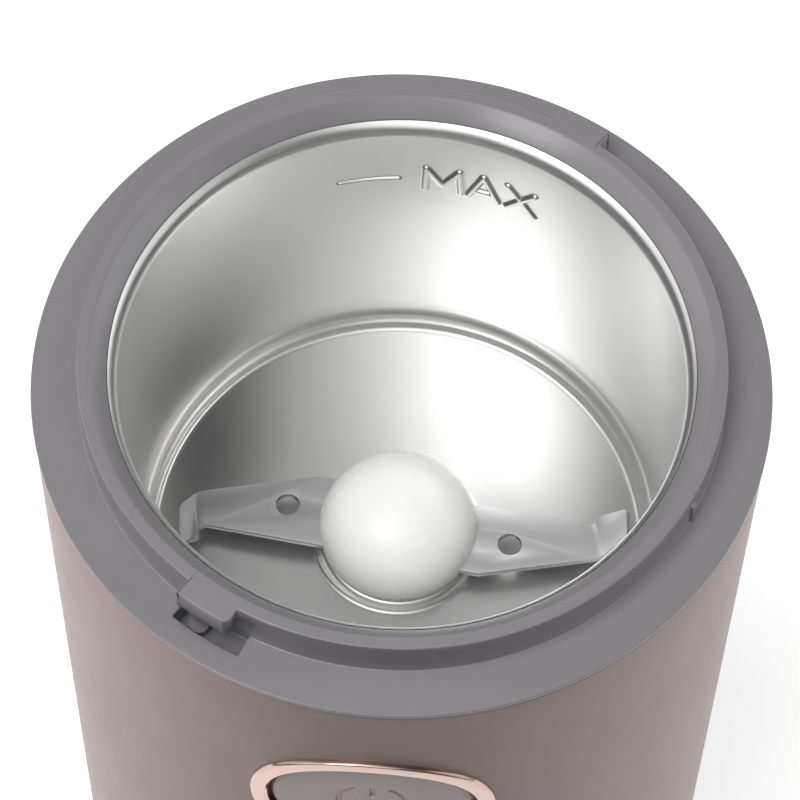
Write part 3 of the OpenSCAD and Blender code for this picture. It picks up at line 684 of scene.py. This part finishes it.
def makeBowl():
    v = bowlValues
    inner, outer = bowlLine(0), bowlLine(v["sheet"])
    low = inner[0]
    curve, reach = v["rimCurve"], v["rimCurve"] - v["rimWidth"]
    flareAt = v["rimHeight"] - math.sqrt(curve ** 2 - reach ** 2)

    def wallAt(z):
        return v["radius"] + (v["wallTop"] - v["radius"]) * (z - low.y) / (flareAt - low.y)

    def flare(t, count):
        # the rim leaves the wall upright and leans out as far as its width
        end = math.acos(reach / (curve - t))
        turns = [end * k / count for k in range(count + 1)]
        return [Vector((v["wallTop"] + curve - (curve - t) * math.cos(a),
                        flareAt + (curve - t) * math.sin(a))) for a in turns]

    first, step, count = v["markRows"]
    rows = [118, 126, 134] + [first + step * i for i in range(count)] + [149]
    wall = [Vector((wallAt(z), z)) for z in rows]
    back = [Vector((wallAt(z) + v["sheet"], z)) for z in v["backRows"]]
    line = inner[::-1] + wall + flare(0, 14) + flare(v["sheet"], 8)[::-1] + back + outer
    bowl = drawOutline("bowl", [(p.x, 0, p.y) for p in line])
    turnOutline(288)
    # finer faces where the mark stands out of the wall
    perDegree = math.radians(1) * v["radius"]
    left, right, tall = v["markField"]

    def markPlace(p):
        across = (v["markStart"] - roundFrom(p)) % 360
        across = across - 360 if across > 180 else across
        return across * perDegree, p.z / mm - v["markHeight"]

    def inMark(p, n):
        x, z = markPlace(p)
        return left < x < right and -tall < z < tall and outward(n, p) < -0.5

    pickFaces(bowl, inMark)
    bpy.ops.mesh.subdivide(number_cuts=5)
    leaveEditing()
    strokes = [(Vector(a), Vector(b)) for line in markStrokes for a, b in zip(line, line[1:])]
    past, wide = v["markEdge"]
    for vertex in bowl.data.vertices:
        p = vertex.co
        x, z = markPlace(p)
        across = math.hypot(p.x, p.y) / mm
        inField = left - 0.5 < x < right + 0.5 and abs(z) < tall + 0.4
        if not inField or across > v["wallTop"] + 0.25:
            continue
        near = min(strokeDistance(Vector((x, z)), a, b) for a, b in strokes)
        t = max(0, min(1, (v["markWidth"] / 2 + past - near) / wide))
        level = wallAt(p.z / mm) - v["markRise"] * t * t * (3 - 2 * t)
        p.x, p.y = p.x * level / across, p.y * level / across
    smooth(bowl, 40)
    stands(bowl, "housing", "grinding_bowl", "bowl_steel")
    return bowl


# blade with one wing up and one down

bladeValues = {
    "halfWidth": 5.065,
    "bend": 26.0,
    "foldNear": (0.85, 0.3),        # where a fold starts: out past the bend, and across
    "foldFar": 0.9,                 # how far short of the bend it ends
    "waist": 0.45,                  # where an arm has its full width, as a share of the bend
    "thickness": 1.0,
    "middle": 110.1,
    "wingUp": 5.1,
    "wingDown": 3.5,
    "earUp": 0.8,
    "earDown": 1.5,
    "wingAngle": 32,
    "bendLength": 1.2,
    "wingCorner": 0.45,
    "holeAt": 15.04,
    "hole": 1.575,
    "holeCut": (105, 115),
    "turn": -6.8,
    "edge": 0.1,
}


def wingRows(length, ear, fold):
    # rows of a wing: out from the fold, then where its near and its far end are along the fold
    rows = [(0.24, 0.07, fold + 0.02), (0.48, 0.15, fold + 0.10), (0.72, 0.22, fold + 0.24),
            (0.96, 0.30, fold + 0.48 * ear), (1.2, 0.37, fold + 0.8 * ear), (1.5, 0.46, fold + ear),
            (2.4, 0.75, fold + 0.97 * ear)]
    return [(out, out, near, far) for out, near, far in rows] + [
        (length - 0.3, length + 0.6, 1.0, fold + ear - 0.5)]


def makeBlade():
    v = bladeValues
    w, x = v["halfWidth"], v["bend"]
    nearOut, nearIn = v["foldNear"]
    arm = [(x * v["waist"], -w), (x + nearOut, nearIn), (x - v["foldFar"], w)]
    outline = arm + [(-a, -b) for a, b in arm]
    blade = drawOutline("blade", [(a, b, v["middle"]) for a, b in outline])
    pickAll()
    bpy.ops.mesh.edge_face_add()
    tilt = math.radians(v["wingAngle"])

    def alongSheet(s):
        # how far out and up the sheet has come after this length
        bent = min(s, v["bendLength"])
        radius = v["bendLength"] / tilt
        a = bent / radius
        rest = s - bent
        return (radius * math.sin(a) + rest * math.cos(a),
                radius * (1 - math.cos(a)) + rest * math.sin(a))

    for side, length, ear in ((1, v["wingUp"], v["earUp"]), (-1, v["wingDown"], v["earDown"])):
        near = Vector((side * (x + nearOut), side * nearIn, v["middle"]))
        far = Vector((side * (x - v["foldFar"]), side * w, v["middle"]))
        fold = (far - near).normalized()
        out = Vector((fold.y, -fold.x, 0))
        up = Vector((0, 0, side))
        pickEdges(blade, lambda a, b: all(
            min((p / mm - near).length, (p / mm - far).length) < 0.01 for p in (a, b)))
        for outNear, outFar, nearAt, farAt in wingRows(length, ear, (far - near).length):
            bpy.ops.mesh.extrude_edges_move(TRANSFORM_OT_translate={"value": out * 0.0001})
            leaveEditing()
            ends = [p for p in blade.data.vertices if p.select]
            ends.sort(key=lambda p: (p.co / mm - near).dot(fold))
            for end, s, at in ((ends[0], outNear, nearAt), (ends[-1], outFar, farAt)):
                o, z = alongSheet(s)
                end.co = (near + fold * at + out * o + up * z) * mm
            bpy.ops.object.mode_set(mode="EDIT")
        bpy.ops.mesh.select_mode(type="VERT")
        bpy.ops.mesh.bevel(offset=v["wingCorner"] * mm, segments=4, affect="VERTICES")
    closeMesh()
    applyModifier(blade, "SOLIDIFY", thickness=v["thickness"] * mm, offset=0,
                  use_even_offset=True)
    low, high = v["holeCut"]
    for side in (1, -1):
        at = side * v["holeAt"]
        cutAway(blade, bar(v["hole"], (at, 0, low), (at, 0, high), 48))
    softenEdges(blade, v["edge"], 2, 40)
    blade.data.transform(Matrix.Rotation(math.radians(v["turn"]), 4, "Z"))
    smooth(blade, 30)
    stands(blade, "spindle", "blade", "blade_steel")
    return blade


# domed cap over the blade's nut

capValues = {
    "radius": 10.54,
    "dome": 8.85,
    "middle": 109.8,
    "foot": 108.3,
    "bladeTop": 110.6,
    "bladeWide": 10.43,
    "slotFrom": 105,
    "play": 0.05,
    "groove": 0.12,
    "taper": 0.12,
    "grooveRows": (0.55, 0.45, 0.3, 0.2),       # below the middle
    "nutRoom": (4.77, 115.4),       # radius and top
    "skirtIn": 5.35,
}


def makeCap():
    v = capValues
    r, mid, taper, groove = v["radius"], v["middle"], v["taper"], v["groove"]
    room, roomTop = v["nutRoom"]
    rows = [mid - down for down in v["grooveRows"]]
    corners = [(r - 0.25, v["foot"], 0.3), (r - taper, rows[0]), (r - taper - groove, rows[1]),
               (r - groove, rows[2]), (r, rows[3])]
    corners += [(r * math.cos(a), mid + v["dome"] * math.sin(a))
                for a in [math.radians(90 * i / 40) for i in range(40)]]
    corners += [(0, mid + v["dome"]), (0, roomTop), (room, roomTop, 0.4), (room, v["bladeTop"]),
                (v["skirtIn"], v["bladeTop"]), (v["skirtIn"], v["foot"], 0.2)]
    cap = turnedPiece("bladeCap", corners, steps=160)
    pickNothing()
    low, high = v["slotFrom"], v["bladeTop"] + v["play"]
    bpy.ops.mesh.primitive_cube_add(size=1, location=(0, 0, (low + high) / 2 * mm))
    slotCutter = bpy.context.object
    slotCutter.scale = (24 * mm, v["bladeWide"] * mm, (high - low) * mm)
    slotCutter.rotation_euler = (0, 0, math.radians(bladeValues["turn"]))
    bpy.ops.object.transform_apply(location=True, rotation=True, scale=True)
    cutAway(cap, slotCutter)
    smooth(cap, 40)
    stands(cap, "spindle", "blade_cap", "white_plastic")
    return cap


# button, its metal bezel and its mark

buttonValues = {
    "height": 121.7,
    "skin": 45.372,         # the shell's radius at the button's height
    "face": 43.70,
    "back": 41.1,
    "radius": 12.5,
    "flange": 0.9,
    "flangeThick": 0.8,
    "round": 0.9,
    "crown": 0.25,
    "bezelOuter": 15.1,
    "bezelBore": 12.9,
    "bezelProud": 0.7,
    "bezelLead": 0.45,
    "sleeve": 13.65,
    "sleeveIn": 42.2,
    "markRadius": 4.15,
    "markWidth": 0.75,
    "markDepth": 0.32,
    "markGap": 29,
    "markStroke": (1.2, 4.0),
    "wrapLength": 1.2,      # the pieces go from round to following the shell over this length
}


def wrapOnBody(piece, deep):
    # what lies in front of the depth follows the curve of the body
    v = buttonValues
    for vertex in piece.data.vertices:
        p = vertex.co
        forward = -p.y / mm
        weight = max(0, min(1, (forward - deep) / v["wrapLength"]))
        x, up = p.x / mm, p.z / mm
        curve = v["skin"] - math.sqrt(v["skin"] ** 2 - x * x)
        lean = skinRadius(up) - v["skin"]
        p.y += (curve - lean) * weight * mm


def makeBezel():
    v = buttonValues
    outer, bore, sleeve = v["bezelOuter"], v["bezelBore"], v["sleeve"]
    foot, front, back = v["skin"] + 0.03, v["skin"] + v["bezelProud"], v["sleeveIn"]
    lead, row = v["bezelLead"], back + 1.3
    corners = [(outer, foot), (outer, front, 0.35), (bore + lead, front, 0.3),
               (bore, front - lead, 0.2), (bore, row), (bore, back),
               (sleeve, back), (sleeve, row), (sleeve, foot)]
    bezel = frontTurnedPiece("bezel", corners, v["height"], 200, 5)
    wrapOnBody(bezel, back + 0.9)
    smooth(bezel, 40)
    stands(bezel, "housing", "button_bezel", "rose_metal")
    return bezel


def makeButton():
    v = buttonValues
    height, back, face, r = v["height"], v["back"], v["face"], v["radius"]
    rim, front = r + v["flange"], back + v["flangeThick"]
    corners = [(0, back), (rim, back), (rim, front), (r, front), (r, face, v["round"])]
    corners += [(r * k, face + v["crown"] * (1 - k * k)) for k in (0.85, 0.7, 0.5, 0.25, 0)]
    button = frontTurnedPiece("button", corners, height, 160, 6)
    # the mark is engraved: a ring with a gap at its top, and an upright stroke; the crown has
    # nearly its full height there
    half = v["markWidth"] / 2
    level = face + v["crown"] * 0.92 + half - v["markDepth"]
    ring = [(v["markRadius"] + half * math.cos(a), level + half * math.sin(a))
            for a in [math.radians(30 * k) for k in range(12)]]
    start = math.radians(90 + v["markGap"])
    cutter = drawOutline("markCutter", [
        (a * math.cos(start), -b, height + a * math.sin(start)) for a, b in ring])
    pickAll()
    bpy.ops.mesh.edge_face_add()
    pickAll()
    bpy.ops.mesh.spin(steps=72, angle=math.radians(360 - 2 * v["markGap"]), axis=(0, 1, 0),
                      center=(0, 0, height * mm))
    closeMesh()
    cutAway(button, cutter)
    low, high = v["markStroke"]
    cutAway(button, bar(0.9 * half, (0, -level, height + low), (0, -level, height + high), 16))
    smooth(button, 40)
    stands(button, "push_button", "button", "button_paint")
    return button


# shader node groups for effects that several finishes share

def newGroup(name, inputs, outputs):
    group = bpy.data.node_groups.new(name, "ShaderNodeTree")
    for label, kind, value in inputs:
        socket = group.interface.new_socket(name=label, in_out="INPUT", socket_type=kind)
        if value is not None:
            socket.default_value = value
    for label in outputs:
        group.interface.new_socket(name=label, in_out="OUTPUT", socket_type="NodeSocketFloat")
    return group, group.nodes.new("NodeGroupInput"), group.nodes.new("NodeGroupOutput")


def mathNode(tree, operation, *feeds, clamp=False):
    node = tree.nodes.new("ShaderNodeMath")
    node.operation = operation
    node.use_clamp = clamp
    for i, feed in enumerate(feeds):
        if isinstance(feed, (int, float)):
            node.inputs[i].default_value = feed
        else:
            tree.links.new(feed, node.inputs[i])
    return node.outputs[0]


def noiseNode(tree, vector, scale, detail=2.0, roughness=0.5, distortion=0.0):
    node = tree.nodes.new("ShaderNodeTexNoise")
    tree.links.new(vector, node.inputs["Vector"])
    if isinstance(scale, (int, float)):
        node.inputs["Scale"].default_value = scale
    else:
        tree.links.new(scale, node.inputs["Scale"])
    node.inputs["Detail"].default_value = detail
    node.inputs["Roughness"].default_value = roughness
    node.inputs["Distortion"].default_value = distortion
    return node.outputs["Fac"]


def ramp(tree, feed, low, high, outLow=0.0, outHigh=1.0):
    node = tree.nodes.new("ShaderNodeMapRange")
    tree.links.new(feed, node.inputs["Value"])
    for label, value in (("From Min", low), ("From Max", high),
                         ("To Min", outLow), ("To Max", outHigh)):
        node.inputs[label].default_value = value
    return node.outputs["Result"]


def stretched(tree, vector, scale, turn=(0, 0, 0)):
    node = tree.nodes.new("ShaderNodeMapping")
    tree.links.new(vector, node.inputs["Vector"])
    node.inputs["Scale"].default_value = scale
    node.inputs["Rotation"].default_value = turn
    return node.outputs["Vector"]


def makeHandling():
    # broad cloudiness, finger smudges and a few fine scratches
    group, source, result = newGroup("handling", [("Vector", "NodeSocketVector", None),
        ("Scale", "NodeSocketFloat", 40.0), ("Scratches", "NodeSocketFloat", 0.5)],
        ["Clouds", "Smudges", "Scratches"])
    where = source.outputs["Vector"]
    clouds = noiseNode(group, where, source.outputs["Scale"], 3, 0.55, 0.3)
    group.links.new(ramp(group, clouds, 0.32, 0.68), result.inputs["Clouds"])
    finer = mathNode(group, "MULTIPLY", source.outputs["Scale"], 3.7)
    smudges = noiseNode(group, where, finer, 5, 0.62, 1.4)
    group.links.new(ramp(group, smudges, 0.50, 0.72), result.inputs["Smudges"])
    lines = None
    for turn, scale in (((0.3, 0.2, 0.5), (1, 60, 60)), ((1.1, -0.4, 2.1), (1.5, 75, 75)),
                        ((-0.7, 0.9, -0.8), (1.2, 90, 90))):
        line = noiseNode(group, stretched(group, where, scale, turn), 55, 1, 0.4)
        line = ramp(group, line, 0.70, 0.74)
        lines = line if lines is None else mathNode(group, "MAXIMUM", lines, line)
    group.links.new(mathNode(group, "MULTIPLY", lines, source.outputs["Scratches"], clamp=True),
                    result.inputs["Scratches"])
    return group


def makeGrain():
    # fine moulding or spray texture
    group, source, result = newGroup("grain", [("Vector", "NodeSocketVector", None),
        ("Scale", "NodeSocketFloat", 1800.0)], ["Height"])
    fine = noiseNode(group, source.outputs["Vector"], source.outputs["Scale"], 3, 0.6)
    coarse = noiseNode(group, source.outputs["Vector"],
                       mathNode(group, "MULTIPLY", source.outputs["Scale"], 0.23), 2, 0.5)
    group.links.new(mathNode(group, "ADD", mathNode(group, "MULTIPLY", fine, 0.6),
                             mathNode(group, "MULTIPLY", coarse, 0.4)), result.inputs["Height"])
    return group


def makeTurnedLines():
    # fine lines that run round the vertical axis, as a polishing wheel leaves them
    group, source, result = newGroup("turnedLines", [("Vector", "NodeSocketVector", None),
        ("Lines", "NodeSocketFloat", 2500.0)], ["Height"])
    parts = group.nodes.new("ShaderNodeSeparateXYZ")
    group.links.new(source.outputs["Vector"], parts.inputs[0])
    x, y, z = parts.outputs
    across = mathNode(group, "SQRT", mathNode(group, "ADD", mathNode(group, "MULTIPLY", x, x),
                                              mathNode(group, "MULTIPLY", y, y)))
    safe = mathNode(group, "MAXIMUM", across, 0.0005)
    heights = []
    for slow, share in ((2.2, 1.0), (6.0, 2.3)):
        join = group.nodes.new("ShaderNodeCombineXYZ")
        for i, side in enumerate((x, y)):
            way = mathNode(group, "DIVIDE", side, safe)
            group.links.new(mathNode(group, "MULTIPLY", way, slow), join.inputs[i])
        fast = mathNode(group, "MULTIPLY", source.outputs["Lines"], 1.0 / share)
        along = mathNode(group, "ADD", across, z)
        group.links.new(mathNode(group, "MULTIPLY", along, fast), join.inputs[2])
        heights.append(noiseNode(group, join.outputs[0], 1.0, 4, 0.65))
    group.links.new(mathNode(group, "ADD", mathNode(group, "MULTIPLY", heights[0], 0.6),
                             mathNode(group, "MULTIPLY", heights[1], 0.4)), result.inputs["Height"])
    return group


def makeFlakesAndGlints():
    # small flakes lying at random in a plastic or a paint, with painted glints: a random share of
    # them is made lighter in colour, standing in for light caught by tilted flakes
    group, source, result = newGroup("flakesAndGlints", [("Vector", "NodeSocketVector", None),
        ("Scale", "NodeSocketFloat", 5000.0), ("Amount", "NodeSocketFloat", 0.08)],
        ["Mask", "Tilt"])
    cells = group.nodes.new("ShaderNodeTexVoronoi")
    group.links.new(source.outputs["Vector"], cells.inputs["Vector"])
    group.links.new(source.outputs["Scale"], cells.inputs["Scale"])
    shade = group.nodes.new("ShaderNodeSeparateColor")
    group.links.new(cells.outputs["Color"], shade.inputs[0])
    few = mathNode(group, "LESS_THAN", shade.outputs[0], source.outputs["Amount"])
    small = mathNode(group, "LESS_THAN", cells.outputs["Distance"], 0.42)
    group.links.new(mathNode(group, "MULTIPLY", few, small), result.inputs["Mask"])
    group.links.new(shade.outputs[1], result.inputs["Tilt"])
    return group


groups = {"handling": makeHandling(), "grain": makeGrain(), "turnedLines": makeTurnedLines(),
          "flakesAndGlints": makeFlakesAndGlints()}


# finishes; colours are linear, grain and lines are per metre, depths in millimetres, and flakes
#  are how fine, how many and how bright, the brightness being a painted glint; finishValues holds
#  what is the same for all, or for all that do not say otherwise

finishValues = {
    "cloudScale": 45.0,
    "scratchRough": 0.12,
    "scratchDeep": 0.8,
    "metallic": 0.0,
    "specular": 0.5,
    "coat": 0.0,
    "coatRough": 0.1,
    # the near-white that flakes and their painted glints are pulled towards
    "flakeAndGlintColor": (0.85, 0.85, 0.87, 1),
}

finishes = {
    "body_paint": {"color": (0.375, 0.289, 0.274), "rough": 0.44, "spread": 0.06,
                   "clouds": 0.035, "grain": 1500, "depth": 0.010, "scratches": 0.15,
                   "flakesAndGlints": (6500, 0.10, 0.06), "specular": 0.15, "coat": 0.03,
                   "coatRough": 0.3},
    "button_paint": {"color": (0.500, 0.405, 0.385), "rough": 0.42, "spread": 0.06,
                     "clouds": 0.04, "grain": 1700, "depth": 0.010, "scratches": 0.2,
                     "flakesAndGlints": (6500, 0.08, 0.08), "coat": 0.1, "coatRough": 0.3},
    "collar_plastic": {"color": (0.205, 0.199, 0.209), "rough": 0.24,
                       "spread": 0.05, "clouds": 0.02, "grain": 1100, "depth": 0.003,
                       "scratches": 0.2, "flakesAndGlints": (6500, 0.05, 0.06)},
    "bowl_steel": {"color": (0.78, 0.78, 0.775), "metallic": 1.0, "rough": 0.29, "spread": 0.015,
                   "clouds": 0.01, "turned": 2600, "depth": 0.00015, "scratches": 0.08,
                   "anisotropic": 0.5},
    "blade_steel": {"color": (0.78, 0.78, 0.785), "metallic": 1.0, "rough": 0.50, "spread": 0.05,
                    "clouds": 0.03, "brushed": (40, 1600, 900), "depth": 0.0006, "scratches": 0.4},
    "white_plastic": {"color": (0.92, 0.92, 0.91), "rough": 0.28, "spread": 0.06,
                      "clouds": 0.015, "grain": 700, "depth": 0.006, "scratches": 0.12},
    "rose_metal": {"color": (0.51, 0.365, 0.315), "metallic": 1.0, "rough": 0.13, "spread": 0.05,
                   "clouds": 0.04, "grain": 1300, "depth": 0.002, "scratches": 0.4},
    "plain_steel": {"color": (0.60, 0.60, 0.61), "metallic": 1.0, "rough": 0.32, "spread": 0.12,
                    "clouds": 0.12, "grain": 1500, "depth": 0.008, "scratches": 0.5},
    "lamination_steel": {"color": (0.22, 0.23, 0.26), "metallic": 0.9, "rough": 0.45,
                         "spread": 0.12, "clouds": 0.25, "layers": 2000, "depth": 0.05,
                         "scratches": 0.3},
    "copper_wire": {"color": (0.48, 0.16, 0.055), "metallic": 0.55, "rough": 0.30, "spread": 0.1,
                    "clouds": 0.25, "layers": 1300, "depth": 0.16, "scratches": 0.0, "coat": 0.5,
                    "coatRough": 0.15},
    "copper_bar": {"color": (0.70, 0.33, 0.17), "metallic": 1.0, "rough": 0.28, "spread": 0.12,
                   "clouds": 0.2, "turned": 1800, "depth": 0.01, "scratches": 0.3},
    "bronze": {"color": (0.62, 0.42, 0.17), "metallic": 1.0, "rough": 0.38, "spread": 0.12,
               "clouds": 0.2, "grain": 2300, "depth": 0.012, "scratches": 0.3},
    "cast_alloy": {"color": (0.50, 0.51, 0.52), "metallic": 0.9, "rough": 0.48, "spread": 0.12,
                   "clouds": 0.15, "grain": 1900, "depth": 0.05, "scratches": 0.4},
    "carbon": {"color": (0.025, 0.025, 0.027), "rough": 0.6, "spread": 0.12,
               "clouds": 0.3, "grain": 3200, "depth": 0.02, "scratches": 0.3},
    "black_plastic": {"color": (0.022, 0.022, 0.024), "rough": 0.42, "spread": 0.1,
                      "clouds": 0.2, "grain": 1400, "depth": 0.02, "scratches": 0.2},
    "grey_plastic": {"color": (0.10, 0.10, 0.105), "rough": 0.45, "spread": 0.1,
                     "clouds": 0.15, "grain": 1400, "depth": 0.02, "scratches": 0.2},
    "brown_plastic": {"color": (0.10, 0.045, 0.025), "rough": 0.45, "spread": 0.1,
                      "clouds": 0.25, "grain": 1600, "depth": 0.02, "scratches": 0.2},
    "base_plastic": {"color": (0.150, 0.146, 0.152), "rough": 0.46, "spread": 0.08,
                     "clouds": 0.08, "grain": 1250, "depth": 0.03, "scratches": 0.3},
    "dark_rubber": {"color": (0.018, 0.018, 0.019), "rough": 0.72, "spread": 0.1,
                    "clouds": 0.25, "grain": 2100, "depth": 0.03, "scratches": 0.1},
    "board_green": {"color": (0.012, 0.10, 0.038), "rough": 0.35, "spread": 0.1,
                    "clouds": 0.2, "brushed": (700, 700, 700), "depth": 0.012, "scratches": 0.1},
}


def placeGroup(tree, name, vector, **values):
    node = tree.nodes.new("ShaderNodeGroup")
    node.node_tree = groups[name]
    tree.links.new(vector, node.inputs["Vector"])
    for label, value in values.items():
        node.inputs[label].default_value = value
    return node.outputs


def makeFinish(name, v):
    material = bpy.data.materials.new(name)
    material.use_nodes = True
    tree = material.node_tree
    shader = tree.nodes["Principled BSDF"]
    where = tree.nodes.new("ShaderNodeTexCoord").outputs["Object"]
    common = finishValues
    worn = placeGroup(tree, "handling", where, Scale=common["cloudScale"], Scratches=v["scratches"])

    # colour: the written one, a little lighter and darker in clouds
    mix = tree.nodes.new("ShaderNodeMix")
    mix.data_type = "RGBA"
    tree.links.new(worn["Clouds"], mix.inputs["Factor"])
    mix.inputs["A"].default_value = (*[c * (1 - v["clouds"]) for c in v["color"]], 1)
    mix.inputs["B"].default_value = (*[min(1, c * (1 + v["clouds"])) for c in v["color"]], 1)
    color = mix.outputs["Result"]
    # flakes with painted glints: specks pulled towards a near-white colour, lighter where their
    # random tilt stands in for catching the light
    if "flakesAndGlints" in v:
        scale, amount, strength = v["flakesAndGlints"]
        specks = placeGroup(tree, "flakesAndGlints", where, Scale=scale, Amount=amount)
        bright = mathNode(tree, "MULTIPLY", specks["Mask"], specks["Tilt"])
        bright = mathNode(tree, "MULTIPLY", bright, strength)
        light = tree.nodes.new("ShaderNodeMix")
        light.data_type = "RGBA"
        tree.links.new(bright, light.inputs["Factor"])
        tree.links.new(color, light.inputs["A"])
        light.inputs["B"].default_value = common["flakeAndGlintColor"]
        color = light.outputs["Result"]
    tree.links.new(color, shader.inputs["Base Color"])

    # roughness: smudges and scratches sit on the plain value
    plain = ramp(tree, worn["Smudges"], 0, 1, v["rough"] - v["spread"] / 2,
                 v["rough"] + v["spread"] / 2)
    cut = mathNode(tree, "MULTIPLY", worn["Scratches"], common["scratchRough"])
    rough = mathNode(tree, "ADD", plain, cut)
    tree.links.new(rough, shader.inputs["Roughness"])

    # relief: grain, brushed or turned lines, or stacked layers, with the scratches cut in
    if "turned" in v:
        height = placeGroup(tree, "turnedLines", where, Lines=v["turned"])["Height"]
    elif "brushed" in v:
        height = noiseNode(tree, stretched(tree, where, v["brushed"]), 1.0, 4, 0.6)
    elif "layers" in v:
        height = noiseNode(tree, stretched(tree, where, (60, 60, v["layers"])), 1.0, 2, 0.5)
    else:
        height = placeGroup(tree, "grain", where, Scale=v["grain"])["Height"]
    cut = mathNode(tree, "MULTIPLY", worn["Scratches"], common["scratchDeep"])
    height = mathNode(tree, "SUBTRACT", height, cut)
    bump = tree.nodes.new("ShaderNodeBump")
    bump.inputs["Strength"].default_value = 1.0
    bump.inputs["Distance"].default_value = v["depth"] * mm
    tree.links.new(height, bump.inputs["Height"])
    tree.links.new(bump.outputs["Normal"], shader.inputs["Normal"])

    for label, key in (("Metallic", "metallic"), ("Specular IOR Level", "specular"),
                       ("Coat Weight", "coat"), ("Coat Roughness", "coatRough")):
        shader.inputs[label].default_value = v.get(key, common[key])
    if "anisotropic" in v:
        shader.inputs["Anisotropic"].default_value = v["anisotropic"]
        tangent = tree.nodes.new("ShaderNodeTangent")
        tangent.direction_type = "RADIAL"
        tangent.axis = "Z"
        tree.links.new(tangent.outputs[0], shader.inputs["Tangent"])
    return material


def paint(thing, material):
    thing.data.materials.clear()
    thing.data.materials.append(material)


materials = {name: makeFinish(name, values) for name, values in finishes.items()}
print(len(materials), "finishes ready")


# pieces

for make in (makeShell, makeCollar, makeBowl, makeBlade, makeCap, makeBezel, makeButton):
    made = make()
    leaveEditing()
    paint(made, materials[made["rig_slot"]])
    print(made.name, len(made.data.polygons), "faces")

for row in frame["record"]["subparts"]:
    paint(frame["nodes"][row["node"]], materials[row["material_slot"]])
# the safety pin's tip shows in a pocket of the collar
paint(frame["nodes"]["lid_plunger"], materials["collar_plastic"])
print("finishes given to the inner parts")
